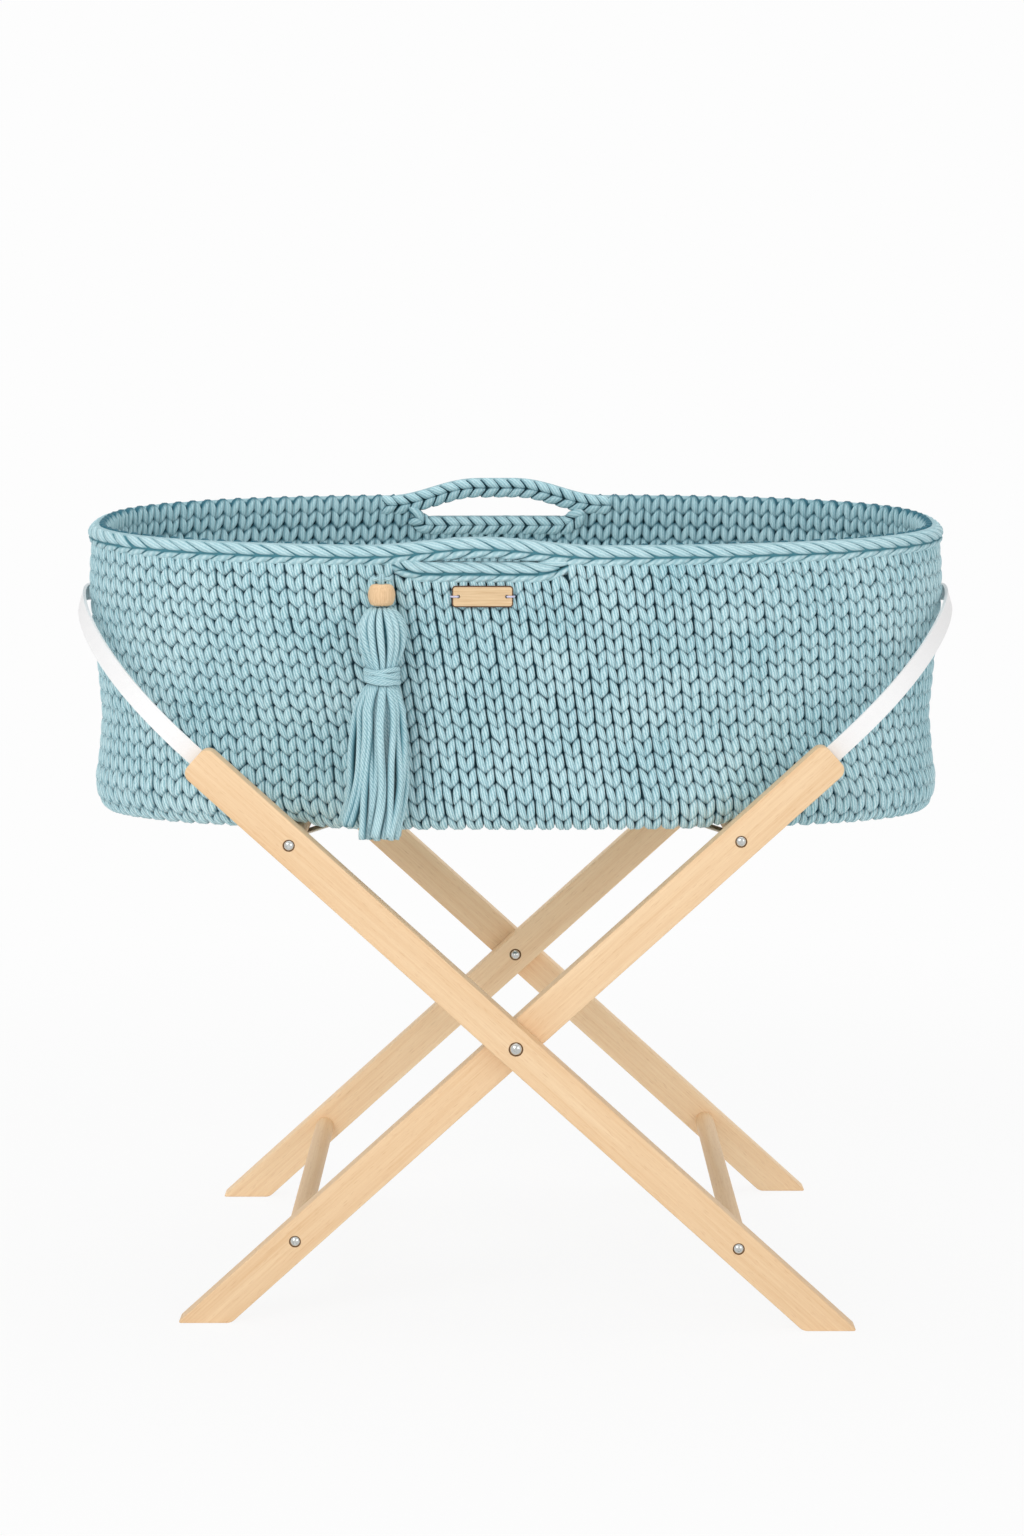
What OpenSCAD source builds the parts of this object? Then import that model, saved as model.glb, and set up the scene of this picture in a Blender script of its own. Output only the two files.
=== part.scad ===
// Crocheted Moses basket on a folding X-frame stand, in millimetres.
// X runs along the basket, Y from the front to the back, and Z up from the floor.

/* [Stand] */
// Angle of the open legs above the floor, in degrees
leg_angle = 42.5; // [40:0.5:46]
// Height of the pivot bolts above the floor
pivot_height = 273; // [255:1:295]
// Distance along a leg from the pivot to each rail
rail_offset = 285; // [265:1:305]
// Distance along a leg from the pivot to its top end
leg_top = 403; // [385:1:415]
// Width of a leg
leg_width = 35; // [30:0.5:40]
// Thickness of a leg
leg_thick = 22; // [18:0.5:26]
// Corner radius at a leg's top end
leg_top_round = 9; // [4:0.5:12]
// Corner radius at a leg's foot
foot_round = 5; // [2:0.5:8]
// Gap between two crossing legs
leg_gap = 1; // [0.6:0.1:2]
// Diameter of a rail
rail_d = 20; // [16:0.5:24]
// Depth of the blind socket that holds a rail's end
rail_socket = 6; // [4:0.5:8]

/* [Hardware] */
// Diameter of a pivot bolt
bolt_d = 8; // [6:0.5:10]
// Diameter of a pivot bolt's domed head
bolt_head_d = 12; // [11:0.5:16]
// Height of a pivot bolt's domed head
bolt_head_h = 4.4; // [3.5:0.1:6]
// Diameter of a pivot nut's dome
nut_d = 11; // [10.5:0.5:14]
// Height of a pivot nut
nut_h = 5.5; // [4.5:0.1:7]
// Diameter of a pivot washer
washer_d = 24; // [18:1:30]
// Diameter of a rail screw
screw_d = 6; // [4:0.5:7]
// Diameter of a rail screw's domed head
screw_head_d = 9.6; // [8.5:0.1:12]
// Height of a rail screw's domed head
screw_head_h = 3.4; // [2.6:0.1:4]
// Depth of the seat that a head or a nut lies in
seat_depth = 1; // [0.6:0.1:1.6]
// Diameter of a threaded insert
insert_d = 10; // [9:0.5:12]
// Length of a threaded insert
insert_len = 18; // [14:1:24]
// Size across the flats of a socket in a head
socket_af = 4; // [3:0.5:5]

/* [Hoops] */
// Width of the flat hoop
hoop_width = 17; // [14:0.5:20]
// Thickness of the flat hoop
hoop_thick = 3; // [2:0.25:4]
// Length of each hoop end on its leg
hoop_lap = 62; // [50:1:75]
// Gap between the hoop and the end of the basket
hoop_clear = 4; // [3:0.5:12]
// Rise of a hoop's bend out of the plane of its legs
hoop_rise = 13; // [0:1:20]
// Turn of a hoop's flat side toward upright at the end of the basket
hoop_turn = 27; // [0:1:40]
// Diameter of a hoop screw
hoop_screw_d = 4; // [3:0.5:5]
// Diameter of a hoop screw's head
hoop_screw_head_d = 8; // [7:0.5:10]
// Height of a hoop screw's head
hoop_screw_head_h = 2.2; // [1.6:0.1:2.8]
// Depth of a hoop screw in its leg
hoop_screw_bite = 14; // [10:1:16]

/* [Straps] */
// Width of a retaining strap
strap_width = 30; // [20:1:40]
// Thickness of a retaining strap
strap_thick = 1.8; // [1.2:0.1:2.4]
// Distance from the middle to each strap
strap_spacing = 95; // [70:1:120]

/* [Basket] */
// Outside length of the basket
basket_length = 844; // [800:1:900]
// Outside width of the basket
basket_width = 396; // [370:1:430]
// Height of the wall at the ends, under the rim
wall_height = 260; // [240:1:290]
// Thickness of the crocheted wall
wall_thick = 14; // [10:0.5:18]
// How much higher the rim is at the back than at the ends
rim_rise = 17; // [0:1:20]
// Diameter of the rim braid
rim_d = 21; // [17:0.5:24]
// Gap between the basket and the inner legs
basket_gap = 1; // [0.5:0.5:6]
// Thickness of the crocheted floor
floor_thick = 12; // [8:0.5:16]
// Thickness of the base board
board_thick = 4; // [3:0.5:8]
// Thickness of the mattress
mattress_thick = 38; // [25:1:50]

/* [Handles] */
// Length of each handle strap
handle_length = 230; // [200:1:260]
// Place of the front handle along the basket
front_handle_x = -33; // [-34:1:10]
// Place of the rear handle along the basket
rear_handle_x = -21; // [-40:1:40]
// Rise of the front handle strap above the rim
front_rise = 8; // [8:1:20]
// Rise of the rear handle strap above the rim
rear_rise = 18; // [14:1:30]
// Length of the ramp at each end of the rear handle strap
rear_ramp = 60; // [50:1:100]
// Depth of the slot below each handle
slot_dip = 18; // [14:1:24]
// Distance from each end of a handle to the end of the slot below it
slot_end_gap = 18; // [12:0.5:24]
// Length of the ramp at each end of the slot
slot_ramp = 45; // [30:1:60]
// Diameter of the braid along the slot
slot_d = 20; // [16:0.5:22]

/* [Tag] */
// Length of the wooden tag
tag_length = 57; // [45:1:70]
// Height of the wooden tag
tag_height = 20; // [15:1:26]
// Thickness of the wooden tag
tag_thick = 3; // [2:0.5:5]
// Place of the tag's middle along the basket
tag_x = -31; // [-60:1:20]
// Distance from the wall's front edge down to the tag's middle
tag_drop = 28; // [27:1:60]
// Diameter of a thread hole in the tag
tag_hole_d = 3; // [2.5:0.1:4]
// Diameter of the stitching thread
thread_d = 2; // [1.5:0.1:2.2]

/* [Tassel] */
// Place of the tassel along the basket
tassel_x = -124; // [-150:1:-110]
// Distance from the wall's front edge down to the tassel's loop
tassel_drop = 11; // [10:1:30]
// Diameter of the cord that the tassel hangs on
loop_d = 5; // [4:0.5:6]
// Diameter of the bead
bead_d = 25.5; // [20:0.5:28]
// Height of the bead
bead_h = 20; // [16:0.5:24]
// Diameter of the tassel's own cord
cord_d = 6; // [4:0.5:7]
// Widest diameter of the tassel's gathered head
head_d = 38; // [34:1:44]
// Height of the tassel's gathered head
head_h = 53; // [38:1:56]
// Diameter of the neck under the wrap
neck_d = 28; // [24:1:30]
// Diameter of the wrapping yarn
wrap_d = 4; // [3:0.5:5]
// Number of turns in the wrap
wrap_turns = 4; // [3:1:7]
// Pitch of the wrap's turns
wrap_pitch = 4.6; // [4.6:0.1:6]
// Length of the tassel's skirt
skirt_length = 137; // [110:1:150]
// Width of the skirt at its end
skirt_width = 66; // [50:1:80]

/* [Hidden] */
$fn = 64;
wood = "#ecca9f";
chrome = "#c9ccd1";
brass = "#c8a45a";
plastic_white = "#f4f4f2";
webbing = "#e8e4da";
crochet = "#8fbcc8";
crochet_dark = "#7fadba";
linen = "#f3f1ea";

// Clearances: a turning fit, a fixed fit, round a head, between flat faces, and under soft pieces
run_clear = 0.05;
fit_clear = 0.05;
head_clear = 0.9;
face_clear = 0.05;
soft_clear = 0.3;

// The legs' faces, as distances from the stand's middle plane
inner_face = basket_width / 2 + basket_gap;
inner_back = inner_face + leg_thick;
outer_face = inner_back + leg_gap;
outer_back = outer_face + leg_thick;

// The steps in a rounded corner, and in a hoop's bend
arc_steps = 6;
bend_steps = 64;

function unit(v) = v / norm(v);

// A point s along a leg from the pivot and w across it, in the X-Z plane
function on_leg(s, w = 0) =
    [-s * cos(leg_angle) + w * sin(leg_angle), s * sin(leg_angle) + w * cos(leg_angle)];

// Where the floor cuts a leg, at w across it
function foot_s(w) = -(pivot_height + w * cos(leg_angle)) / sin(leg_angle);

// The arc that rounds the corner b between its neighbours a and c
function corner_arc(a, b, c, r) =
    let (
        u = unit(a - b),
        v = unit(c - b),
        half = acos(u * v) / 2,
        mid = b + unit(u + v) * r / sin(half),
        from = b + u * r / tan(half) - mid,
        to = b + v * r / tan(half) - mid
    )
    [for (i = [0 : arc_steps]) mid + r * unit(from * (arc_steps - i) + to * i)];

leg_side = leg_width / 2;
leg_corners = [
    on_leg(leg_top, -leg_side),
    on_leg(leg_top, leg_side),
    on_leg(foot_s(leg_side), leg_side),
    on_leg(foot_s(-leg_side), -leg_side)
];
leg_rounds = [leg_top_round, leg_top_round, foot_round, foot_round];
leg_outline = [
    for (i = [0 : 3])
        each corner_arc(leg_corners[(i + 3) % 4], leg_corners[i], leg_corners[(i + 1) % 4], leg_rounds[i])
];

// The two screws in each end of a hoop
hoop_screw_margin = hoop_lap / 4;
hoop_screw_places = [leg_top - hoop_screw_margin, leg_top - hoop_lap + hoop_screw_margin];

// How far past a cut's face the cutting solid reaches
over = 1;

// Things along Y: p is [x, z], and the solid runs from y0 to y1
module y_cylinder(p, d, y0, y1, sides = $fn) {
    translate([p.x, y0, p.y])
        rotate([-90, 0, 0])
            cylinder(d = d, h = y1 - y0, $fn = sides);
}

module y_extrude(length) {
    translate([0, length, 0])
        rotate([90, 0, 0])
            linear_extrude(length)
                children();
}

// A dome that stands on the plane y = 0 and rises towards -Y, with a short straight edge
dome_edge = 0.8;
module dome(d, h) {
    rise = h - dome_edge;
    ball = (d * d / 4 + rise * rise) / (2 * rise);
    rotate([90, 0, 0]) {
        cylinder(d = d, h = dome_edge);
        intersection() {
            translate([0, 0, h - ball])
                sphere(ball);
            translate([0, 0, dome_edge])
                cylinder(d = d, h = rise);
        }
    }
}

// A socket for a key, cut into the top of a dome of height h
module key_socket(h) {
    y_cylinder([0, 0], socket_af / cos(30), -h - over, -h / 2, 6);
}

// One leg, with its outer face at y = 0 and the pivot at the origin
module leg(cap_d, cap_on_inner_face) {
    color(wood)
        difference() {
            y_extrude(leg_thick)
                polygon(leg_outline);
            y_cylinder([0, 0], bolt_d + 2 * run_clear, -over, leg_thick + over);
            if (cap_on_inner_face)
                y_cylinder([0, 0], cap_d + 2 * head_clear, leg_thick - seat_depth, leg_thick + over);
            else
                y_cylinder([0, 0], cap_d + 2 * head_clear, -over, seat_depth);
            for (s = [-rail_offset, rail_offset]) {
                y_cylinder(on_leg(s), screw_d + 2 * fit_clear, -over, leg_thick + over);
                y_cylinder(on_leg(s), screw_head_d + 2 * head_clear, -over, seat_depth);
                y_cylinder(on_leg(s), rail_d + 2 * fit_clear, leg_thick - rail_socket, leg_thick + over);
            }
            for (s = hoop_screw_places)
                y_cylinder(on_leg(s), hoop_screw_d + 2 * fit_clear,
                    leg_thick - hoop_screw_bite, leg_thick + over);
        }
}

// Moves a front piece of a frame from the pivot to its place. The inner frame leans the other way.
module at_front(face, leans_right) {
    mirror([leans_right ? 1 : 0, 0, 0])
        translate([0, -face, pivot_height])
            children();
}

module front_and_rear() {
    children();
    mirror([0, 1, 0])
        children();
}

module outer_front_leg() {
    at_front(outer_back, false)
        leg(bolt_head_d, false);
}

module outer_rear_leg() {
    mirror([0, 1, 0])
        outer_front_leg();
}

module inner_front_leg() {
    at_front(inner_back, true)
        leg(nut_d, true);
}

module inner_rear_leg() {
    mirror([0, 1, 0])
        inner_front_leg();
}

// A rail between two legs, whose ends lie in the legs' sockets, with a bore for an insert in each end
module rail(s, leg_face, leans_right) {
    half = leg_face + rail_socket - fit_clear;
    color(wood)
        mirror([leans_right ? 1 : 0, 0, 0])
            translate([0, 0, pivot_height])
                difference() {
                    y_cylinder(on_leg(s), rail_d, -half, half);
                    front_and_rear()
                        y_cylinder(on_leg(s), insert_d + 2 * fit_clear, -half - over, -half + insert_len);
                }
}

module outer_upper_rail() {
    rail(rail_offset, outer_face, false);
}

module outer_lower_rail() {
    rail(-rail_offset, outer_face, false);
}

module inner_upper_rail() {
    rail(rail_offset, inner_face, true);
}

module inner_lower_rail() {
    rail(-rail_offset, inner_face, true);
}

// Where a rail's end lies, from its leg's outer face
rail_end = leg_thick - rail_socket + fit_clear;

module rail_inserts() {
    color(brass)
        for (s = [-rail_offset, rail_offset])
            difference() {
                y_cylinder(on_leg(s), insert_d, rail_end, rail_end + insert_len - fit_clear);
                y_cylinder(on_leg(s), screw_d + 2 * fit_clear, rail_end - over, rail_end + insert_len + over);
            }
}

module outer_rail_inserts() {
    front_and_rear()
        at_front(outer_back, false)
            rail_inserts();
}

module inner_rail_inserts() {
    front_and_rear()
        at_front(inner_back, true)
            rail_inserts();
}

// The part of an insert that a screw's thread fills
screw_fill = 0.8;
module rail_screws() {
    color(chrome)
        for (s = [-rail_offset, rail_offset])
            difference() {
                union() {
                    translate([on_leg(s).x, seat_depth, on_leg(s).y])
                        dome(screw_head_d, screw_head_h);
                    y_cylinder(on_leg(s), screw_d, seat_depth, rail_end + insert_len * screw_fill);
                }
                translate([on_leg(s).x, seat_depth, on_leg(s).y])
                    key_socket(screw_head_h);
            }
}

module outer_rail_screws() {
    front_and_rear()
        at_front(outer_back, false)
            rail_screws();
}

module inner_rail_screws() {
    front_and_rear()
        at_front(inner_back, true)
            rail_screws();
}

// Where the nut lies, from the outer leg's outer face, and how far the bolt reaches into it
nut_seat = 2 * leg_thick + leg_gap - seat_depth;
nut_thread = nut_h / 2;

module pivot_bolts() {
    color(chrome)
        front_and_rear()
            at_front(outer_back, false)
                difference() {
                    union() {
                        translate([0, seat_depth, 0])
                            dome(bolt_head_d, bolt_head_h);
                        y_cylinder([0, 0], bolt_d, seat_depth, nut_seat + nut_thread - fit_clear);
                    }
                    translate([0, seat_depth, 0])
                        key_socket(bolt_head_h);
                }
}

module pivot_washers() {
    color(chrome)
        front_and_rear()
            at_front(outer_face, false)
                difference() {
                    y_cylinder([0, 0], washer_d, face_clear, leg_gap - face_clear);
                    y_cylinder([0, 0], bolt_d + 2 * run_clear, -over, leg_gap + over);
                }
}

module pivot_nuts() {
    color(chrome)
        front_and_rear()
            at_front(outer_back, false)
                difference() {
                    translate([0, nut_seat, 0])
                        mirror([0, 1, 0])
                            dome(nut_d, nut_h);
                    y_cylinder([0, 0], bolt_d + 2 * run_clear, nut_seat - over, nut_seat + nut_thread);
                }
}

// How far a hoop's bend reaches from the pivot, so that its upper edge clears the basket's end
hoop_reach = (basket_length / 2 + hoop_clear + hoop_rise * sin(leg_angle)
    + hoop_width / 2 * sin(leg_angle - hoop_turn)) / cos(leg_angle);

// A hoop's cross section at a turn of its bend, 0 and 180 at the tops of its legs, and a distance back
// from there. Each corner is [along the leg, across the stand, below the legs' plane].
function hoop_ring(half_span, a, back = 0) =
    let (
        bend = hoop_reach - leg_top,
        turn = hoop_turn * pow(sin(a), 2),
        facing = unit([half_span * sin(a), bend * cos(a), 0]),
        out = hoop_thick * (facing * cos(turn) + [0, 0, sin(turn)]),
        half = hoop_width / 2 * ([0, 0, cos(turn)] - facing * sin(turn)),
        middle = [leg_top - back + bend * sin(a), half_span * cos(a), -hoop_rise * pow(sin(a), 3)]
    )
    [middle - half, middle + out - half, middle + out + half, middle + half];

module hoop(leg_face, leans_right) {
    half_span = leg_face - face_clear - hoop_thick;
    color(plastic_white)
        mirror([leans_right ? 1 : 0, 0, 0])
            translate([0, 0, pivot_height])
                difference() {
                    rotate([0, 180 + leg_angle, 0])
                        loft(concat(
                            [hoop_ring(half_span, 0, hoop_lap)],
                            [for (i = [0 : bend_steps]) hoop_ring(half_span, 180 * i / bend_steps)],
                            [hoop_ring(half_span, 180, hoop_lap)]
                        ));
                    for (s = hoop_screw_places)
                        y_cylinder(on_leg(s), hoop_screw_d + 2 * fit_clear,
                            -leg_face - over, leg_face + over);
                }
}

module outer_hoop() {
    hoop(outer_face, false);
}

module inner_hoop() {
    hoop(inner_face, true);
}

// Screws through a hoop's ends into the inner faces of its legs
module hoop_screws(leg_face, leans_right) {
    seat = leg_face - face_clear - hoop_thick - face_clear;
    tip = leg_face + hoop_screw_bite - fit_clear;
    color(chrome)
        front_and_rear()
            at_front(0, leans_right)
                for (s = hoop_screw_places) {
                    translate([on_leg(s).x, -seat, on_leg(s).y])
                        mirror([0, 1, 0])
                            dome(hoop_screw_head_d, hoop_screw_head_h);
                    y_cylinder(on_leg(s), hoop_screw_d, -tip, -seat);
                }
}

module outer_hoop_screws() {
    hoop_screws(outer_face, false);
}

module inner_hoop_screws() {
    hoop_screws(inner_face, true);
}

// The upper rails' place, and the straps round them
rail_x = rail_offset * cos(leg_angle);
rail_z = pivot_height + rail_offset * sin(leg_angle);
strap_bore = rail_d + 2 * soft_clear;
strap_loop = strap_bore + 2 * strap_thick;
strap_top = rail_z + strap_loop / 2;

module strap() {
    color(webbing)
        translate([0, -strap_width / 2, rail_z])
            y_extrude(strap_width)
                difference() {
                    union() {
                        for (x = [-rail_x, rail_x])
                            translate([x, 0])
                                circle(d = strap_loop);
                        translate([-rail_x, -strap_thick / 2])
                            square([2 * rail_x, strap_thick]);
                    }
                    for (x = [-rail_x, rail_x])
                        translate([x, 0])
                            circle(d = strap_bore);
                }
}

module front_strap() {
    translate([0, -strap_spacing, 0])
        strap();
}

module rear_strap() {
    translate([0, strap_spacing, 0])
        strap();
}

// The basket's plan is a squared ellipse, and t is the angle round it from +X
plan_power = 2.6;
half_length = basket_length / 2;
half_width = basket_width / 2;
slot_length = handle_length - 2 * slot_end_gap;
basket_z = strap_top + soft_clear;

function plan_scale(t) =
    1 / pow(pow(abs(cos(t)), plan_power) + pow(abs(sin(t)), plan_power), 1 / plan_power);
function plan(t, inset) =
    plan_scale(t) * [(half_length - inset) * cos(t), (half_width - inset) * sin(t)];
// The angle at which the outer plan passes x, at the front (side -1) or at the back (side 1)
function turn_at(x, side) =
    atan2(side * pow(1 - pow(abs(x / half_length), plan_power), 1 / plan_power), x / half_length);

// How far the outer plan at t lies from the middle of the handle on that side of the basket
function from_handle(t) = plan(t, 0).x - (sin(t) < 0 ? front_handle_x : rear_handle_x);

// A smooth hump along a handle: 0 from its ends on, with a ramp at each end and a flat middle
function hump(x, length, ramp) =
    let (inside = length / 2 - abs(x))
    inside > ramp ? 1 : inside > 0 ? (1 - cos(180 * inside / ramp)) / 2 : 0;

// The height of the wall's edge without and with the handle slots
function rim_seat(t) = basket_z + wall_height + rim_rise * plan(t, 0).y / half_width;
function wall_edge(t) = rim_seat(t) - slot_dip * hump(from_handle(t), slot_length, slot_ramp);

// The wall's side view: share of the height, and inset from the outside length and width
wall_profile = [
    [0, 15], [0.02, 8], [0.05, 4], [0.1, 2], [0.18, 6], [0.34, 10],
    [0.55, 6], [0.7, 2], [0.82, 0], [0.93, 1], [1, 3]
];
wall_turns = 80;

function wall_loop(level, depth) = [
    for (i = [0 : wall_turns - 1])
        let (
            t = 360 * i / wall_turns,
            p = plan(t, level[1] + depth),
            z = basket_z + level[0] * (wall_edge(t) - basket_z)
        )
        [p.x, p.y, z]
];

// The triangles of a stack of closed loops. A ring of loops closes on itself, and a stack has flat ends.
function loop_faces(loops, sides, is_ring) =
    [
        for (j = [0 : loops - (is_ring ? 1 : 2)], i = [0 : sides - 1])
            let (
                a = j * sides + i,
                b = j * sides + (i + 1) % sides,
                c = ((j + 1) % loops) * sides + i,
                d = ((j + 1) % loops) * sides + (i + 1) % sides
            )
            each [[a, c, b], [b, c, d]]
    ];
function end_faces(loops, sides) = [
    [for (i = [0 : sides - 1]) i],
    [for (i = [sides - 1 : -1 : 0]) (loops - 1) * sides + i]
];

module loft(loops) {
    sides = len(loops[0]);
    polyhedron(
        points = [for (loop = loops) each loop],
        faces = concat(loop_faces(len(loops), sides, false), end_faces(len(loops), sides)),
        convexity = 4
    );
}

module ring_loft(loops) {
    polyhedron(
        points = [for (loop = loops) each loop],
        faces = loop_faces(len(loops), len(loops[0]), true),
        convexity = 6
    );
}

module basket_wall() {
    top = len(wall_profile) - 1;
    color(crochet)
        ring_loft(concat(
            [for (j = [0 : top]) wall_loop(wall_profile[j], 0)],
            [for (j = [top : -1 : 0]) wall_loop(wall_profile[j], wall_thick)]
        ));
}

// A flat plate with the basket's plan
module plan_plate(inset, z, thick) {
    translate([0, 0, z])
        linear_extrude(thick)
            polygon([for (i = [0 : wall_turns - 1]) plan(360 * i / wall_turns, inset)]);
}

floor_inset = wall_profile[0][1] + wall_thick + soft_clear;
board_z = basket_z + floor_thick + face_clear;
mattress_z = board_z + board_thick + soft_clear;

module basket_floor() {
    color(crochet_dark)
        plan_plate(floor_inset, basket_z, floor_thick);
}

module base_board() {
    color(wood)
        plan_plate(floor_inset, board_z, board_thick);
}

// The mattress: share of its height, and inset from its widest outline. The top crowns towards the middle.
mattress_profile = [
    [0, 7], [0.1, 1], [0.25, 0], [0.45, 2], [0.65, 0], [0.8, 2], [0.88, 10], [0.94, 40], [0.98, 90], [1, 130]
];
mattress_turns = 56;
mattress_inset = floor_inset + 1;

module mattress() {
    color(linen)
        loft([
            for (level = mattress_profile) [
                for (i = [0 : mattress_turns - 1])
                    let (p = plan(360 * i / mattress_turns, mattress_inset + level[1]))
                    [p.x, p.y, mattress_z + mattress_thick * level[0]]
            ]
        ]);
}

// The braids are round tubes over the wall's edge, sunk a little into it
braid_sink = 2;
braid_sides = 10;
braid_inset = wall_profile[len(wall_profile) - 1][1] + wall_thick / 2;
turn_step = 0.5;

function strap_rise(t) =
    sin(t) < 0
        ? front_rise * hump(from_handle(t), handle_length, handle_length / 2)
        : rear_rise * hump(from_handle(t), handle_length, rear_ramp);
function rim_height(t) = rim_seat(t) + rim_d / 2 - braid_sink + strap_rise(t);
function slot_height(t) = wall_edge(t) + slot_d / 2 - braid_sink;
function braid_point(t, is_slot) =
    let (p = plan(t, braid_inset))
    [p.x, p.y, is_slot ? slot_height(t) : rim_height(t)];
function braid_ring(t, is_slot) =
    let (
        p = braid_point(t, is_slot),
        along = unit(braid_point(t + turn_step, is_slot) - braid_point(t - turn_step, is_slot)),
        side = unit(cross(along, [0, 0, 1])),
        up = cross(side, along),
        r = (is_slot ? slot_d : rim_d) / 2
    )
    [
        for (i = [0 : braid_sides - 1])
            let (a = 360 * i / braid_sides)
            p + r * (cos(a) * side + sin(a) * up)
    ];

module braid(from, to, rings, is_slot) {
    color(crochet)
        loft([for (i = [0 : rings]) braid_ring(from + (to - from) * i / rings, is_slot)]);
}

front_left = turn_at(front_handle_x - handle_length / 2, -1);
front_right = turn_at(front_handle_x + handle_length / 2, -1);
rear_left = turn_at(rear_handle_x - handle_length / 2, 1);
rear_right = turn_at(rear_handle_x + handle_length / 2, 1);
end_rings = 34;
handle_rings = 16;

module rim_braid_left() {
    braid(rear_left, front_left + 360, end_rings, false);
}

module rim_braid_right() {
    braid(front_right, rear_right, end_rings, false);
}

module front_handle() {
    braid(front_left, front_right, handle_rings, false);
}

module rear_handle() {
    braid(rear_right, rear_left, handle_rings, false);
}

module front_slot_braid() {
    braid(turn_at(front_handle_x - slot_length / 2, -1), turn_at(front_handle_x + slot_length / 2, -1),
        handle_rings, true);
}

module rear_slot_braid() {
    braid(turn_at(rear_handle_x + slot_length / 2, 1), turn_at(rear_handle_x - slot_length / 2, 1),
        handle_rings, true);
}

// The front wall's edge, from which the tag and the tassel hang
front_edge = basket_z + wall_height - rim_rise;
tag_z = front_edge - tag_drop;
tag_back = half_width + soft_clear;
tag_round = tag_height / 6;
tag_hole_x = tag_length / 2 - 2 * tag_hole_d;
// How far the thread reaches into the wall
thread_bite = 6;

module wooden_tag() {
    color(wood)
        translate([tag_x, -tag_back - tag_thick, tag_z])
            difference() {
                y_extrude(tag_thick)
                    union() {
                        square([tag_length - 2 * tag_round, tag_height], center = true);
                        square([tag_length, tag_height - 2 * tag_round], center = true);
                        for (x = [-1, 1], y = [-1, 1])
                            translate([x * (tag_length / 2 - tag_round), y * (tag_height / 2 - tag_round)])
                                circle(tag_round);
                    }
                for (x = [-tag_hole_x, tag_hole_x])
                    y_cylinder([x, 0], tag_hole_d, -over, tag_thick + over);
            }
}

// Each stitch comes out of the wall through a hole, runs over the tag's end and goes back into the wall
module tag_stitches() {
    lie = thread_d / 2 + face_clear;
    far = tag_length / 2 + lie;
    color(crochet_dark)
        for (side = [-1, 1])
            translate([tag_x, -tag_back - tag_thick - lie, tag_z]) {
                for (x = [tag_hole_x, far])
                    y_cylinder([side * x, 0], thread_d, 0, lie + tag_thick + thread_bite);
                for (x = [tag_hole_x, far])
                    translate([side * x, 0, 0])
                        sphere(d = thread_d);
                translate([side < 0 ? -far : tag_hole_x, 0, 0])
                    rotate([0, 90, 0])
                        cylinder(d = thread_d, h = far - tag_hole_x);
            }
}

// The tassel hangs in front of the wall from a loop of cord
tassel_y = -(half_width + 2 * soft_clear + head_d / 2);
loop_z = front_edge - tassel_drop;
loop_half = cord_d / 2 + loop_d;
loop_bite = 8;
eye_d = loop_d + cord_d;
bead_top = loop_z - eye_d / 2 - soft_clear;
head_top = bead_top - bead_h - soft_clear;
neck_top = head_top - head_h;
wrap_height = wrap_turns * wrap_pitch + wrap_d;
neck_length = wrap_height + 2 * soft_clear;
skirt_top = neck_top - neck_length;
neck_end = skirt_top + soft_clear;

module x_cylinder(d, x0, x1) {
    translate([x0, 0, 0])
        rotate([0, 90, 0])
            cylinder(d = d, h = x1 - x0);
}

// A loop of cord from the wall, whose front run is the pin that the tassel swings on
module tassel_loop() {
    color(crochet_dark)
        translate([tassel_x, tassel_y, loop_z]) {
            x_cylinder(loop_d, -loop_half, loop_half);
            for (x = [-loop_half, loop_half]) {
                translate([x, 0, 0])
                    sphere(d = loop_d);
                y_cylinder([x, 0], loop_d, 0, -tassel_y - half_width + loop_bite);
            }
        }
}

// The tassel's cord: an eye on the loop, and a stem down through the bead to the head
module tassel_cord() {
    color(crochet_dark)
        translate([tassel_x, tassel_y, loop_z])
            difference() {
                union() {
                    x_cylinder(eye_d, -cord_d / 2, cord_d / 2);
                    translate([0, 0, head_top + soft_clear - loop_z])
                        cylinder(d = cord_d, h = loop_z - head_top - soft_clear);
                }
                x_cylinder(loop_d + 2 * run_clear, -cord_d, cord_d);
            }
}

// A barrel-shaped bead with a bore
bead_end_d = bead_d * 0.8;
module tassel_bead() {
    bulge = (bead_d - bead_end_d) / 2;
    barrel = (bead_h * bead_h / 4 + bulge * bulge) / (2 * bulge);
    color(wood)
        translate([tassel_x, tassel_y, bead_top - bead_h / 2])
            rotate_extrude()
                intersection() {
                    translate([bead_d / 2 - barrel, 0])
                        circle(barrel, $fn = 256);
                    translate([cord_d / 2 + fit_clear, -bead_h / 2])
                        square([bead_d, bead_h]);
                }
}

// The gathered head, which widens below the bead and draws in to the neck
head_profile = [[0, 0.55], [0.12, 0.74], [0.3, 0.9], [0.52, 1], [0.75, 0.96], [0.92, 0.84], [1, 0.74]];
module tassel_head() {
    color(crochet)
        translate([tassel_x, tassel_y, 0])
            rotate_extrude()
                polygon(concat(
                    [[0, head_top]],
                    [for (p = head_profile) [p[1] * head_d / 2, head_top - p[0] * head_h]],
                    [[neck_d / 2, neck_top], [neck_d / 2, neck_end], [0, neck_end]]
                ));
}

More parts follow.
